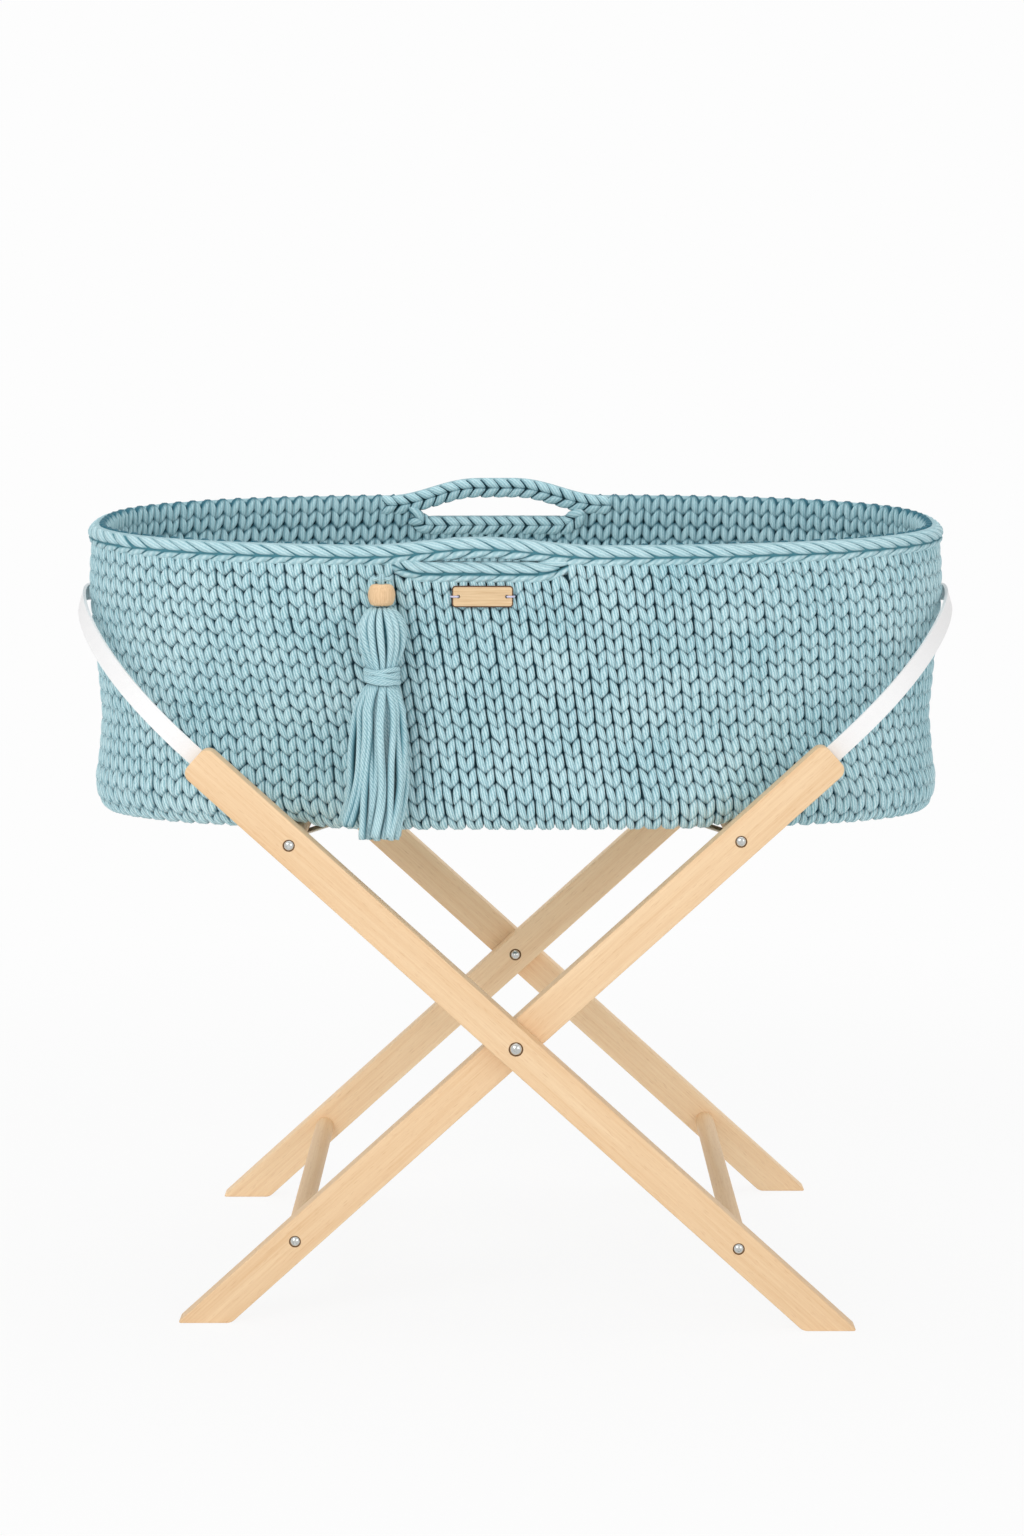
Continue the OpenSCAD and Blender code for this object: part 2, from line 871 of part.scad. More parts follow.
// The yarn wound round the neck is one helix tube
wrap_rings = 24;
wrap_sides = 6;
wrap_count = wrap_turns * wrap_rings;
wrap_r = neck_d / 2 + soft_clear + wrap_d / 2;
function wrap_point(i) =
    [wrap_r * cos(360 * i / wrap_rings), wrap_r * sin(360 * i / wrap_rings), -wrap_pitch * i / wrap_rings];
function wrap_ring(i) =
    let (
        p = wrap_point(i),
        along = unit(wrap_point(i + 1) - wrap_point(i - 1)),
        out = unit([p.x, p.y, 0]),
        up = cross(out, along)
    )
    [
        for (k = [0 : wrap_sides - 1])
            let (a = 360 * k / wrap_sides)
            p + wrap_d / 2 * (cos(a) * out + sin(a) * up)
    ];
wrap_path = [for (i = [0 : wrap_count]) wrap_point(i)];
wrap_gap = min([
    for (i = [0 : wrap_count], j = [i + wrap_rings / 2 : 1 : wrap_count]) norm(wrap_path[i] - wrap_path[j])
]) - wrap_d;
echo(least_gap_in_the_wrap = wrap_gap);

module tassel_wrap() {
    color(crochet_dark)
        translate([tassel_x, tassel_y, neck_top - soft_clear - wrap_d / 2])
            loft([for (i = [0 : wrap_count]) wrap_ring(i)]);
}

// The skirt: share of its length, and share of the way from the neck's size to the size at its end
skirt_profile = [[0, 0], [0.06, 0.22], [0.2, 0.45], [0.5, 0.72], [0.8, 0.92], [0.94, 1], [1, 0.9]];
skirt_turns = 36;
module tassel_skirt() {
    color(crochet)
        translate([tassel_x, tassel_y, skirt_top])
            loft([
                for (level = skirt_profile) [
                    for (i = [0 : skirt_turns - 1])
                        let (
                            a = 360 * i / skirt_turns,
                            wide = neck_d + (skirt_width - neck_d) * level[1],
                            deep = neck_d + (head_d - neck_d) * level[1]
                        )
                        [wide / 2 * cos(a), deep / 2 * sin(a), -skirt_length * level[0]]
                ]
            ]);
}

outer_front_leg();
outer_rear_leg();
inner_front_leg();
inner_rear_leg();
outer_upper_rail();
outer_lower_rail();
inner_upper_rail();
inner_lower_rail();
outer_rail_inserts();
inner_rail_inserts();
outer_rail_screws();
inner_rail_screws();
pivot_bolts();
pivot_washers();
pivot_nuts();
outer_hoop();
inner_hoop();
outer_hoop_screws();
inner_hoop_screws();
front_strap();
rear_strap();
basket_wall();
basket_floor();
base_board();
mattress();
rim_braid_left();
rim_braid_right();
front_handle();
rear_handle();
front_slot_braid();
rear_slot_braid();
wooden_tag();
tag_stitches();
tassel_loop();
tassel_cord();
tassel_bead();
tassel_head();
tassel_wrap();
tassel_skirt();
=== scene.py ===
# %% [markdown]
# # A crocheted Moses basket on a folding beech stand
# The real object has two halves: a stand of four crossed beech legs with white hoops, and a soft
# basket crocheted from thick cotton cord that is laid between the hoops. This lesson dresses the
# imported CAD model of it. All lengths are in metres, as in the frame.

# %% Load the frame
from math import acos, cos, pi, radians, sin, tan
import bpy
import numpy as np
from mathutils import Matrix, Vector


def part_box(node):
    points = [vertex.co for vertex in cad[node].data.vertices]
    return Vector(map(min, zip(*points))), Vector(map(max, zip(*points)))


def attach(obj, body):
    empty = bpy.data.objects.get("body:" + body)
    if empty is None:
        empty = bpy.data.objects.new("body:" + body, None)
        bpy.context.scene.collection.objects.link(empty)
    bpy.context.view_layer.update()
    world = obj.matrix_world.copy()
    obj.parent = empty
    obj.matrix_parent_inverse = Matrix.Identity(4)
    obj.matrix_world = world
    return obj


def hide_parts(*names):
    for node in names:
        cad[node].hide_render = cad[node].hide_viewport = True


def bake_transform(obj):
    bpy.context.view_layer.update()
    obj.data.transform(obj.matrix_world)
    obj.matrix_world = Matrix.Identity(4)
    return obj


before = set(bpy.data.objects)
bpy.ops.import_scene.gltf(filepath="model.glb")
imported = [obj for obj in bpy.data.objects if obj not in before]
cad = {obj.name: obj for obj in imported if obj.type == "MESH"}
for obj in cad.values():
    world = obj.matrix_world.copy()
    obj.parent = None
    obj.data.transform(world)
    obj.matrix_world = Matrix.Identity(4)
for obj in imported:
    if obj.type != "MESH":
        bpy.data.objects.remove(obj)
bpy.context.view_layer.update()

# %% [markdown]
# ## The camera
# The photograph looks straight at the long side from a little above. The point it was taken from
# follows from six screws, four feet and the basket's rims, whose places in the photograph are known.
# A camera in Blender looks down its own -Z, so 90 degrees about X makes it look along +Y.

# %% Camera
photo_height, focal_pixels = 1536, 2747
looks_down = 7.62
camera_data = bpy.data.cameras.new("photo_camera")
camera_data.sensor_width = 36
camera_data.lens = focal_pixels * camera_data.sensor_width / photo_height
camera = bpy.data.objects.new("photo_camera", camera_data)
camera.location = (-0.0037, -2.751, 0.8735)
camera.rotation_euler = (radians(90 - looks_down), 0, 0)
bpy.context.scene.collection.objects.link(camera)
bpy.context.scene.camera = camera
bpy.context.scene.view_settings.view_transform = "Standard"
print("lens", round(camera_data.lens, 2), "mm")

# %% [markdown]
# ## Small helpers for materials
# Colours are written as sRGB hex, as a paint program shows them, and the shader works in linear
# light, so one function turns one into the other. Another adds a node with its settings, its links
# and, for a colour ramp, its stops. A node that is given as a link's source means its first output.

# %% Colour and node helpers
def linear(code):
    parts = [int(code[i:i + 2], 16) / 255 for i in (1, 3, 5)]
    return [c / 12.92 if c <= 0.04045 else ((c + 0.055) / 1.055) ** 2.4 for c in parts] + [1.0]


def wire(tree, node, links=None, values=None):
    for key, value in (values or {}).items():
        node.inputs[key].default_value = value
    for key, source in (links or {}).items():
        tree.links.new(getattr(source, "outputs", [source])[0], node.inputs[key])
    return node


def add(tree, kind, links=None, values=None, stops=(), **settings):
    made = tree.nodes.new("ShaderNode" + kind)
    for key, value in settings.items():
        setattr(made, key, value)
    for i, (position, code) in enumerate(stops):
        ramp = made.color_ramp.elements
        stop = ramp[i] if i < len(ramp) else ramp.new(position)
        stop.position, stop.color = position, linear(code)
    return wire(tree, made, links, values)


def new_finish(name):
    material = bpy.data.materials.new(name)
    material.use_nodes = True
    tree = material.node_tree
    return material, tree, tree.nodes["Principled BSDF"], add(tree, "TexCoord")


print("beech", [round(c, 3) for c in linear("#ecca9f")])

# %% [markdown]
# ## Floor, background and light
# The photograph is a studio shot on white with hardly any shadow. A floor that is lit until it is
# white would wash out the object, so for the camera the floor simply glows white far away, and near
# the feet one tenth of it is real paint, which keeps a trace of their shadow. Metal sees the same white.

# %% Floor and world
def seen_directly(tree):
    path = add(tree, "LightPath")
    seen = add(tree, "Math", {0: path.outputs["Is Camera Ray"], 1: path.outputs["Is Glossy Ray"]},
               operation="MAXIMUM")
    return add(tree, "Math", {0: seen, 1: path.outputs["Is Transmission Ray"]},
               operation="MAXIMUM")


studio_white, room_light = linear("#fdfdfd"), 0.62
bpy.ops.mesh.primitive_plane_add(size=40)
floor = bpy.context.object
floor.name = "studio_floor"
paint, tree, shader, place = new_finish("white_studio_paint")
wire(tree, shader, values={"Base Color": linear("#f4f4f4"), "Roughness": 0.9})
away = add(tree, "VectorMath", {0: place.outputs["Object"]}, operation="LENGTH")
glow_share = add(tree, "MapRange", {"Value": away.outputs["Value"]},
                 {"From Min": 0.6, "From Max": 1.8, "To Min": 0.90, "To Max": 1.0},
                 interpolation_type="SMOOTHSTEP")
share = add(tree, "Math", {0: seen_directly(tree), 1: glow_share}, operation="MULTIPLY")
glow = add(tree, "Emission", values={"Color": studio_white, "Strength": 1.0})
both = add(tree, "MixShader", {0: share, 1: shader, 2: glow})
wire(tree, tree.nodes["Material Output"], {"Surface": both})
floor.data.materials.append(paint)

world = bpy.data.worlds.new("white_studio")
bpy.context.scene.world = world
world.use_nodes = True
tree = world.node_tree
strength = add(tree, "MapRange", {"Value": seen_directly(tree)},
               {"To Min": room_light, "To Max": 1.0})
wire(tree, tree.nodes["Background"], {"Strength": strength}, {"Color": studio_white})
print("room light", room_light)

# %% [markdown]
# Two large soft boxes stand in front of the object, the stronger one on the left and above, as the
# photograph's screw heads show. Large lamps give soft shadows between the stitches. The basket would
# shade the rear legs from them, so a third lamp shines in under it, and a fourth hangs overhead.

# %% Lamps
def soft_box(name, place, target, size, power):
    data = bpy.data.lights.new(name, "AREA")
    data.shape = "SQUARE"
    data.size = size
    data.energy = power
    lamp = bpy.data.objects.new(name, data)
    lamp.location = place
    lamp.rotation_euler = (Vector(target) - Vector(place)).to_track_quat("-Z", "Y").to_euler()
    bpy.context.scene.collection.objects.link(lamp)
    print(name, power, "W")


soft_box("key_soft_box", (-1.6, -2.6, 2.4), (0, 0, 0.45), 1.6, 34)
soft_box("low_soft_box", (-0.8, -3.2, 0.9), (0, 0.2, 0.30), 1.6, 8)
soft_box("fill_soft_box", (2.2, -2.4, 1.5), (0, 0, 0.45), 1.8, 16)
soft_box("top_soft_box", (0, 0.6, 3.2), (0, 0, 0.6), 2.0, 22)

# %% [markdown]
# ## Beech
# The legs and rails are sanded solid beech under a matt lacquer: pale, straight in the grain, with
# short darker flecks that run with it. Grain lines are 0.5 mm apart on real beech, too fine to show
# here, so they are drawn 1.5 mm apart. The grain has to run along each leg, so a Mapping node first
# turns the object's coordinates until X lies along the wood, and a second one stretches the noise.

# %% Beech finish
def beech(name, turn, dark="#e3bc8f", light="#f1d2aa"):
    material, tree, shader, place = new_finish(name)
    turned = add(tree, "Mapping", {"Vector": place.outputs["Object"]}, {"Rotation": turn})
    # Broad streaks 9 mm wide, grain lines 1.5 mm wide and flecks 1 mm by 12 mm
    layers = []
    for scale, detail in (((3, 110, 110), 2.0), ((14, 650, 650), 3.0), ((85, 1000, 1000), 1.0)):
        stretched = add(tree, "Mapping", {"Vector": turned}, {"Scale": scale})
        layers.append(add(tree, "TexNoise", {"Vector": stretched}, {"Scale": 1.0, "Detail": detail}))
    streaks, grain, flecks = layers
    tone = add(tree, "Mix", {2: streaks, 3: grain}, {0: 0.5}, data_type="FLOAT")
    ramp = add(tree, "ValToRGB", {0: tone}, stops=((0.3, dark), (0.68, light)))
    spots = add(tree, "MapRange", {"Value": flecks},
                {"From Min": 0.6, "From Max": 0.74, "To Max": 0.32})
    colour = add(tree, "Mix", {0: spots, 6: ramp}, {7: linear("#c89564")}, data_type="RGBA")
    sheen = add(tree, "MapRange", {"Value": grain}, {"To Min": 0.5, "To Max": 0.62})
    relief = add(tree, "Bump", {"Height": grain}, {"Strength": 0.12, "Distance": 0.0004})
    wire(tree, shader, {"Base Color": colour.outputs[2], "Roughness": sheen, "Normal": relief})
    return material


leg_angle = radians(42.5)
# The rear legs get a paler copy of the beech: painted light, which makes up for the shade the basket casts on
# them
leg_beech = {}
for end, board in (("front", ()), ("rear", ("#efc89b", "#fcdeb6"))):
    for half, angle in (("outer", -leg_angle), ("inner", leg_angle)):
        which = half + "_" + end
        leg_beech[which + "_leg"] = beech("lacquered_beech_" + which, (0, angle, 0), *board)
rail_beech = beech("lacquered_beech_rails", (0, 0, -pi / 2))
print("beech finishes:", [wood.name for wood in leg_beech.values()], rail_beech.name)

# %% [markdown]
# ## Picking edges and faces
# By hand one clicks on edges. In a script they are picked by their place: the test gets an edge's or
# a face's corner points and says yes or no. Everything else is deselected first, because an operator
# acts on all that is selected. The other helpers apply a modifier, make a mesh an object, give a piece
# its name, finish and body, and give a finish to CAD pieces whose shape is right already.

# %% Helpers for pieces
def pick(piece, kind, test):
    if piece.mode == "EDIT":
        bpy.ops.object.mode_set(mode="OBJECT")
    mesh = piece.data
    for group in (mesh.vertices, mesh.edges, mesh.polygons):
        group.foreach_set("select", np.zeros(len(group), bool))
    for item in getattr(mesh, kind):
        item.select = bool(test([mesh.vertices[i].co for i in item.vertices]))
    bpy.context.tool_settings.mesh_select_mode = (False, kind == "edges", kind == "polygons")
    bpy.ops.object.mode_set(mode="EDIT")


def alone(piece):
    bpy.ops.object.select_all(action="DESELECT")
    piece.select_set(True)
    bpy.context.view_layer.objects.active = piece


def edit_all(piece):
    alone(piece)
    bpy.ops.object.mode_set(mode="EDIT")
    bpy.ops.mesh.select_all(action="SELECT")


def apply_modifier(piece, kind, **settings):
    alone(piece)
    made = piece.modifiers.new(kind.title(), kind)
    for key, value in settings.items():
        setattr(made, key, value)
    bpy.ops.object.modifier_apply(modifier=made.name)


def ease(piece, width, segments, sharper_than):
    apply_modifier(piece, "BEVEL", width=width, segments=segments, limit_method="ANGLE",
                   angle_limit=radians(sharper_than))


def new_piece(name, points, faces, edges=()):
    mesh = bpy.data.meshes.new(name)
    mesh.from_pydata(np.array(points).tolist(), edges, faces)
    mesh.shade_smooth()
    piece = bpy.data.objects.new(name, mesh)
    bpy.context.scene.collection.objects.link(piece)
    return piece


def dress(piece, name, material, body="basket"):
    piece.name = name
    piece.data.name = name
    if material:
        piece.data.materials.clear()
        piece.data.materials.append(material)
    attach(piece, body)
    return piece


def wear(material, *nodes):
    for node in nodes:
        cad[node].data.materials.clear()
        cad[node].data.materials.append(material)
    print(material.name, "on", len(nodes), "CAD pieces")


# %% [markdown]
# ## The legs
# A leg is a planed beech batten with a rounded top, sawn level at the foot, and with eased edges.
# It starts as a cube of the batten's size that lies along X with the pivot at the origin. The top
# corners are bevelled, the batten is turned to its angle, a bisect saws it off at the floor, and a
# small bevel all round eases the edges. Shallow seats are cut last, so that they stay crisp: a boolean
# takes short cylinders out of the wood, which bring the finish of their walls with them.

# %% One leg
pivot_height, rail_offset = 0.273, 0.285
leg_top, leg_below, leg_width = 0.403, 0.46, 0.035
top_round, foot_round, eased_edge = 0.009, 0.004, 0.0013
# The seats' walls are end grain, painted much darker as the shade in the thin gap round each head
seat_end_grain_and_shade, tree, shader, place = new_finish("beech_end_grain_and_painted_shade")
pores = add(tree, "TexNoise", {"Vector": place.outputs["Object"]}, {"Scale": 1800.0, "Detail": 2.0})
ramp = add(tree, "ValToRGB", {0: pores}, stops=((0, "#6d4c30"), (1, "#a3794f")))
wire(tree, shader, {"Base Color": ramp}, {"Roughness": 0.7})


def batten(y_low, y_high, leans_right, wood):
    bpy.ops.mesh.primitive_cube_add(size=1)
    leg = bpy.context.object
    leg.scale = (leg_top + leg_below, y_high - y_low, leg_width)
    leg.location = ((leg_top - leg_below) / 2, 0, 0)
    bpy.ops.object.transform_apply()
    pick(leg, "edges", lambda p: all(v.x > leg_top - 0.001 for v in p) and abs(p[0].y - p[1].y) > 0.01)
    bpy.ops.mesh.bevel(offset=top_round, segments=6, affect="EDGES")
    bpy.ops.object.mode_set(mode="OBJECT")
    leg.rotation_euler = (0, -leg_angle if leans_right else pi + leg_angle, 0)
    leg.location = (0, (y_low + y_high) / 2, pivot_height)
    bpy.ops.object.transform_apply()
    edit_all(leg)
    bpy.ops.mesh.bisect(plane_co=(0, 0, 0), plane_no=(0, 0, 1), use_fill=True, clear_inner=True)
    pick(leg, "edges", lambda p: all(abs(v.z) < 1e-5 for v in p) and abs(p[0].y - p[1].y) > 0.01)
    bpy.ops.mesh.bevel(offset=foot_round, segments=4, affect="EDGES")
    bpy.ops.object.mode_set(mode="OBJECT")
    ease(leg, eased_edge, 3, 40)
    leg.data.materials.append(wood)
    leg.data.materials.append(seat_end_grain_and_shade)
    return leg


def drill(piece, holes, y, depth, finish, sides):
    cutters = []
    for x, z, width in holes:
        bpy.ops.mesh.primitive_cylinder_add(vertices=sides, radius=width / 2, depth=depth,
                                            location=(x, y, z), rotation=(pi / 2, 0, 0))
        cutters.append(bpy.context.object)
        cutters[-1].data.materials.append(finish)
    for cutter in cutters:
        cutter.select_set(True)
    bpy.ops.object.join()
    cutter = bpy.context.object
    apply_modifier(piece, "BOOLEAN", object=cutter, operation="DIFFERENCE", solver="EXACT",
                   material_mode="TRANSFER")
    bpy.data.objects.remove(cutter)


def on_leg(along, leans_right):
    side = 1 if leans_right else -1
    return side * along * cos(leg_angle), pivot_height + along * sin(leg_angle)


# %% [markdown]
# The outer frame's legs carry the pivot bolts' heads on their outer faces, and the inner frame's legs
# carry the nuts on their inner faces. Each leg has two more seats for the screws of its rails.

# %% Four legs
inner_faces, outer_faces = (0.199, 0.221), (0.222, 0.244)
seat_depth, screw_seat, nut_seat, head_seat = 0.001, 0.0114, 0.0128, 0.0138


def stand_leg(node, side, is_inner):
    near, far = inner_faces if is_inner else outer_faces
    leg = batten(min(side * near, side * far), max(side * near, side * far), is_inner, leg_beech[node])
    screws = [(*on_leg(s, is_inner), screw_seat) for s in (-rail_offset, rail_offset)]
    drill(leg, screws, side * far, 2 * seat_depth, seat_end_grain_and_shade, 40)
    face, width = (near, nut_seat) if is_inner else (far, head_seat)
    drill(leg, [(0, pivot_height, width)], side * face, 2 * seat_depth, seat_end_grain_and_shade, 40)
    bpy.ops.object.shade_smooth_by_angle(angle=radians(35))
    dress(leg, "beech_" + node, None, "inner_frame" if is_inner else "outer_frame")
    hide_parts(node)
    print(node, len(leg.data.polygons), "faces")


for half in ("outer", "inner"):
    for end, side in (("front", -1), ("rear", 1)):
        stand_leg(half + "_" + end + "_leg", side, half == "inner")
wear(rail_beech, "outer_upper_rail", "outer_lower_rail", "inner_upper_rail", "inner_lower_rail")

# %% [markdown]
# ## Screws, nuts and inserts
# The bolts and screws are polished, plated steel, so they mirror the white room and the dark gaps
# around them. Turned brass inserts hide in the rails. Their CAD shapes are right already and only
# need their metals: a metal's colour is its reflection, and fine polishing lines blur it a little.

# %% Metal finishes
def metal(name, dark, light, blur):
    material, tree, shader, place = new_finish(name)
    lines = add(tree, "TexNoise", {"Vector": place.outputs["Object"]},
                {"Scale": 900.0, "Detail": 3.0})
    ramp = add(tree, "ValToRGB", {0: lines}, stops=((0, dark), (1, light)))
    rough = add(tree, "MapRange", {"Value": lines}, {"To Min": blur, "To Max": blur + 0.1})
    wire(tree, shader, {"Base Color": ramp, "Roughness": rough}, {"Metallic": 1.0})
    return material


wear(metal("polished_plated_steel", "#a7a9a8", "#d9dad6", 0.12), "pivot_bolts", "pivot_nuts", "pivot_washers",
     "outer_rail_screws", "inner_rail_screws", "outer_hoop_screws", "inner_hoop_screws")
wear(metal("turned_brass", "#b8924a", "#d9b974", 0.25), "outer_rail_inserts", "inner_rail_inserts")

# %% [markdown]
# ## The white hoops
# Each end of the stand has a springy flat band of white powder-coated steel, bent round the basket's end
# to keep it from sliding off. The CAD band has the right bend. Powder coating has a faint
# orange-peel skin about 1 mm across, which only shows as a soft break in its reflections.

# %% Hoop finish
powder_coat, tree, shader, place = new_finish("white_powder_coat")
peel = add(tree, "TexNoise", {"Vector": place.outputs["Object"]}, {"Scale": 1000.0, "Detail": 1.0})
ramp = add(tree, "ValToRGB", {0: peel}, stops=((0, "#eaeaea"), (1, "#f5f4f4")))
relief = add(tree, "Bump", {"Height": peel}, {"Strength": 0.02, "Distance": 0.0003})
wire(tree, shader, {"Base Color": ramp, "Normal": relief}, {"Roughness": 0.45})
wear(powder_coat, "outer_hoop", "inner_hoop")

# %% [markdown]
# ## The basket's own geometry
# The basket's plan is a squared ellipse, and its wall leans in and out a little on its way up. Stitches
# are laid on it as on graph paper: u runs round the wall, h runs up it and out stands away from it.
# One function bends that paper into place, so a stitch is modelled flat and never turned by hand.

# %% The wall as graph paper
basket_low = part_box("basket_wall")[0].z
half_length, half_width, plan_power = 0.422, 0.198, 2.6
wall_height, rim_rise = 0.260, 0.017
front_handle_x, rear_handle_x, handle_length = -0.033, -0.021, 0.230
slot_length, slot_dip = 0.194, 0.018
front_slot_ramp, rear_slot_ramp = 0.045, 0.022
wall_shares = [0, .02, .05, .1, .18, .34, .55, .7, .82, .93, 1]
wall_insets = [.015, .008, .004, .002, .006, .010, .006, .002, 0, .001, .003]
# The soft lower edge sags by 7 mm, but hardly where it crosses a rail
sag, held_up, over_rail, rail_reach, sag_height = 0.0070, 0.0060, 0.210, 0.022, 0.03


def plan(turn, inset):
    c, s = np.cos(turn), np.sin(turn)
    reach = (np.abs(c) ** plan_power + np.abs(s) ** plan_power) ** (-1 / plan_power)
    return reach * (half_length - inset) * c, reach * (half_width - inset) * s


def from_handle(turn):
    return plan(turn, 0)[0] - np.where(np.sin(turn) < 0, front_handle_x, rear_handle_x)


def hump(x, length, ramp):
    inside = np.clip((length / 2 - np.abs(x)) / ramp, 0, 1)
    return (1 - np.cos(pi * inside)) / 2


def slot_hump(turn):
    return hump(from_handle(turn), slot_length, np.where(np.sin(turn) < 0, front_slot_ramp, rear_slot_ramp))


def rim_seat(turn):
    return basket_low + wall_height + rim_rise * plan(turn, 0)[1] / half_width


def wall_edge(turn):
    return rim_seat(turn) - slot_dip * slot_hump(turn)


def run_along(points):
    return np.concatenate([[0], np.cumsum(np.linalg.norm(np.diff(points, axis=0), axis=1))])


def turns_by_length(inset):
    turn = np.linspace(0, 2 * pi, 4001)
    return turn, run_along(np.stack(plan(turn, inset), 1))


wall_turns, wall_lengths = turns_by_length(0.006)
wall_round = wall_lengths[-1]
climb = run_along(np.stack([np.array(wall_shares) * wall_height, wall_insets], 1))
wall_up = climb[-1]
# The wall's slope on its way up: outward and upward shares of each step
outward_share = np.interp(climb, (climb[:-1] + climb[1:]) / 2, -np.diff(wall_insets) / np.diff(climb))
outward_share[0] = 0.9
upward_share = np.sqrt(1 - outward_share ** 2)


def wall_turn(u):
    return np.interp(np.mod(u, wall_round), wall_lengths, wall_turns)


def wall_point(u, h, inward):
    turn = wall_turn(u)
    share = np.interp(h, climb, wall_shares)
    under = np.maximum(-h, 0)
    inset = np.interp(h, climb, wall_insets) + under + inward * np.interp(h, climb, upward_share)
    x, y = plan(turn, inset)
    z = basket_low + share * (rim_seat(turn) - basket_low) + np.maximum(h - wall_up, 0)
    on_rail = np.exp(-((np.abs(x) - over_rail) / rail_reach) ** 2)
    low = (sag - held_up * on_rail) * np.exp(-(np.maximum(h, 0) / sag_height) ** 2)
    return np.stack([x, y, z - low + inward * np.interp(h, climb, outward_share)], -1)


print("wall:", round(wall_round, 3), "m round and", round(wall_up, 3), "m up")

# %% [markdown]
# ## One stitch
# In this crochet each stitch shows as two plump leaves of cord that meet in a V. A leaf is a low
# sphere of 80 faces, because some thousands of them cover the basket. It is stretched along the cord,
# made fuller than an ellipse in its outline and its section, because the stitches press each other
# square, and narrower towards its top. Its ends are pushed back, where the cord dives under the next row.

# %% One leaf of cord
squareness = 3.2


def leaf_of_cord(sides, rings, length, width, thick, dive=(0.0028, 0.0024), full=(3.6, 6.0), taper=0.12):
    bpy.ops.mesh.primitive_uv_sphere_add(segments=sides, ring_count=rings, radius=0.5,
                                         rotation=(-pi / 2, 0, 0))
    leaf = bpy.context.object
    bpy.ops.object.transform_apply()
    mesh = leaf.data
    across, along, deep = np.array([v.co for v in mesh.vertices]).T
    along = np.clip(2 * along, -1, 1)
    round_girth = np.sqrt(np.maximum(1 - along ** 2, 1e-9))
    full_girth = (1 - np.abs(along) ** np.where(along > 0, *full)) ** 0.5
    reach = np.maximum(np.hypot(across, deep), 1e-9)
    square = (np.abs(across) ** squareness + np.abs(deep) ** squareness + 1e-30) ** (1 / squareness)
    fuller = np.where(np.abs(along) > 0.999, 1, reach / square * full_girth / round_girth)
    shape = np.stack([across * fuller * width, along * length / 2, deep * fuller * thick], 1)
    ahead, behind = np.maximum(along, 0), np.maximum(-along, 0)
    shape[:, 0] *= 1 - taper * ahead ** 2 + taper / 3 * behind ** 2
    shape[:, 2] -= dive[0] * ahead ** 4 + dive[1] * behind ** 4
    # relief is low where a point is sunk or dives under the next row, and the cotton finish paints crease
    # shade there
    made = {"shape": shape, "relief": np.clip((shape[:, 2] / thick + 0.4) / 0.9, 0, 1),
            "loops": np.array([l.vertex_index for l in mesh.loops]),
            "sizes": np.array([p.loop_total for p in mesh.polygons]),
            "uv": np.array([d.uv for d in mesh.uv_layers[0].data])}
    bpy.data.objects.remove(leaf)
    return made


wall_leaf = leaf_of_cord(8, 10, 0.0200, 0.0087, 0.0100)
plain_leaf = leaf_of_cord(6, 6, 0.0188, 0.0090, 0.0100, (0.0016, 0.0016), (5.0, 5.0), 0.1)
print("a leaf has", len(wall_leaf["sizes"]), "faces, and a plain one", len(plain_leaf["sizes"]))

# %% [markdown]
# Sewing takes a list of places, each with u, h, a tilt, a size and a slant, lays a copy of the leaf at
# each one and bends all of them onto their surface together. The slant shears a leaf, so that its ends
# lie along the zigzag between two rows. Copying thousands of objects one by one would take minutes.
# Numpy does it in a moment, and each leaf keeps its own UV map for the cord's plies.

# %% Sewing
def sew(name, leaf, places, surface, finish):
    u, h, tilt, size, slant = [np.array(column)[:, None] for column in zip(*places)]
    x, y, z = leaf["shape"].T
    y = y - slant * x
    around = u + size * (x * np.cos(tilt) - y * np.sin(tilt))
    upward = h + size * (x * np.sin(tilt) + y * np.cos(tilt))
    points = surface(around, upward, size * z).reshape(-1, 3)
    count = len(places)
    loops = (leaf["loops"][None, :] + len(x) * np.arange(count)[:, None]).ravel()
    sizes = np.tile(leaf["sizes"], count)
    mesh = bpy.data.meshes.new(name)
    mesh.vertices.add(len(points))
    mesh.vertices.foreach_set("co", points.ravel())
    mesh.loops.add(len(loops))
    mesh.loops.foreach_set("vertex_index", loops)
    mesh.polygons.add(len(sizes))
    mesh.polygons.foreach_set("loop_start", np.concatenate([[0], np.cumsum(sizes)[:-1]]))
    mesh.uv_layers.new(name="cord").data.foreach_set("uv", np.tile(leaf["uv"], (count, 1)).ravel())
    # The relief attribute tells the cotton finish where to paint crease shade
    relief = mesh.attributes.new("relief", "FLOAT", "POINT")
    relief.data.foreach_set("value", np.tile(leaf["relief"], count))
    mesh.shade_smooth()
    mesh.update(calc_edges=True)
    mesh.validate()
    piece = bpy.data.objects.new(name, mesh)
    bpy.context.scene.collection.objects.link(piece)
    print(name, count, "leaves,", len(sizes), "faces")
    return dress(piece, name, finish)
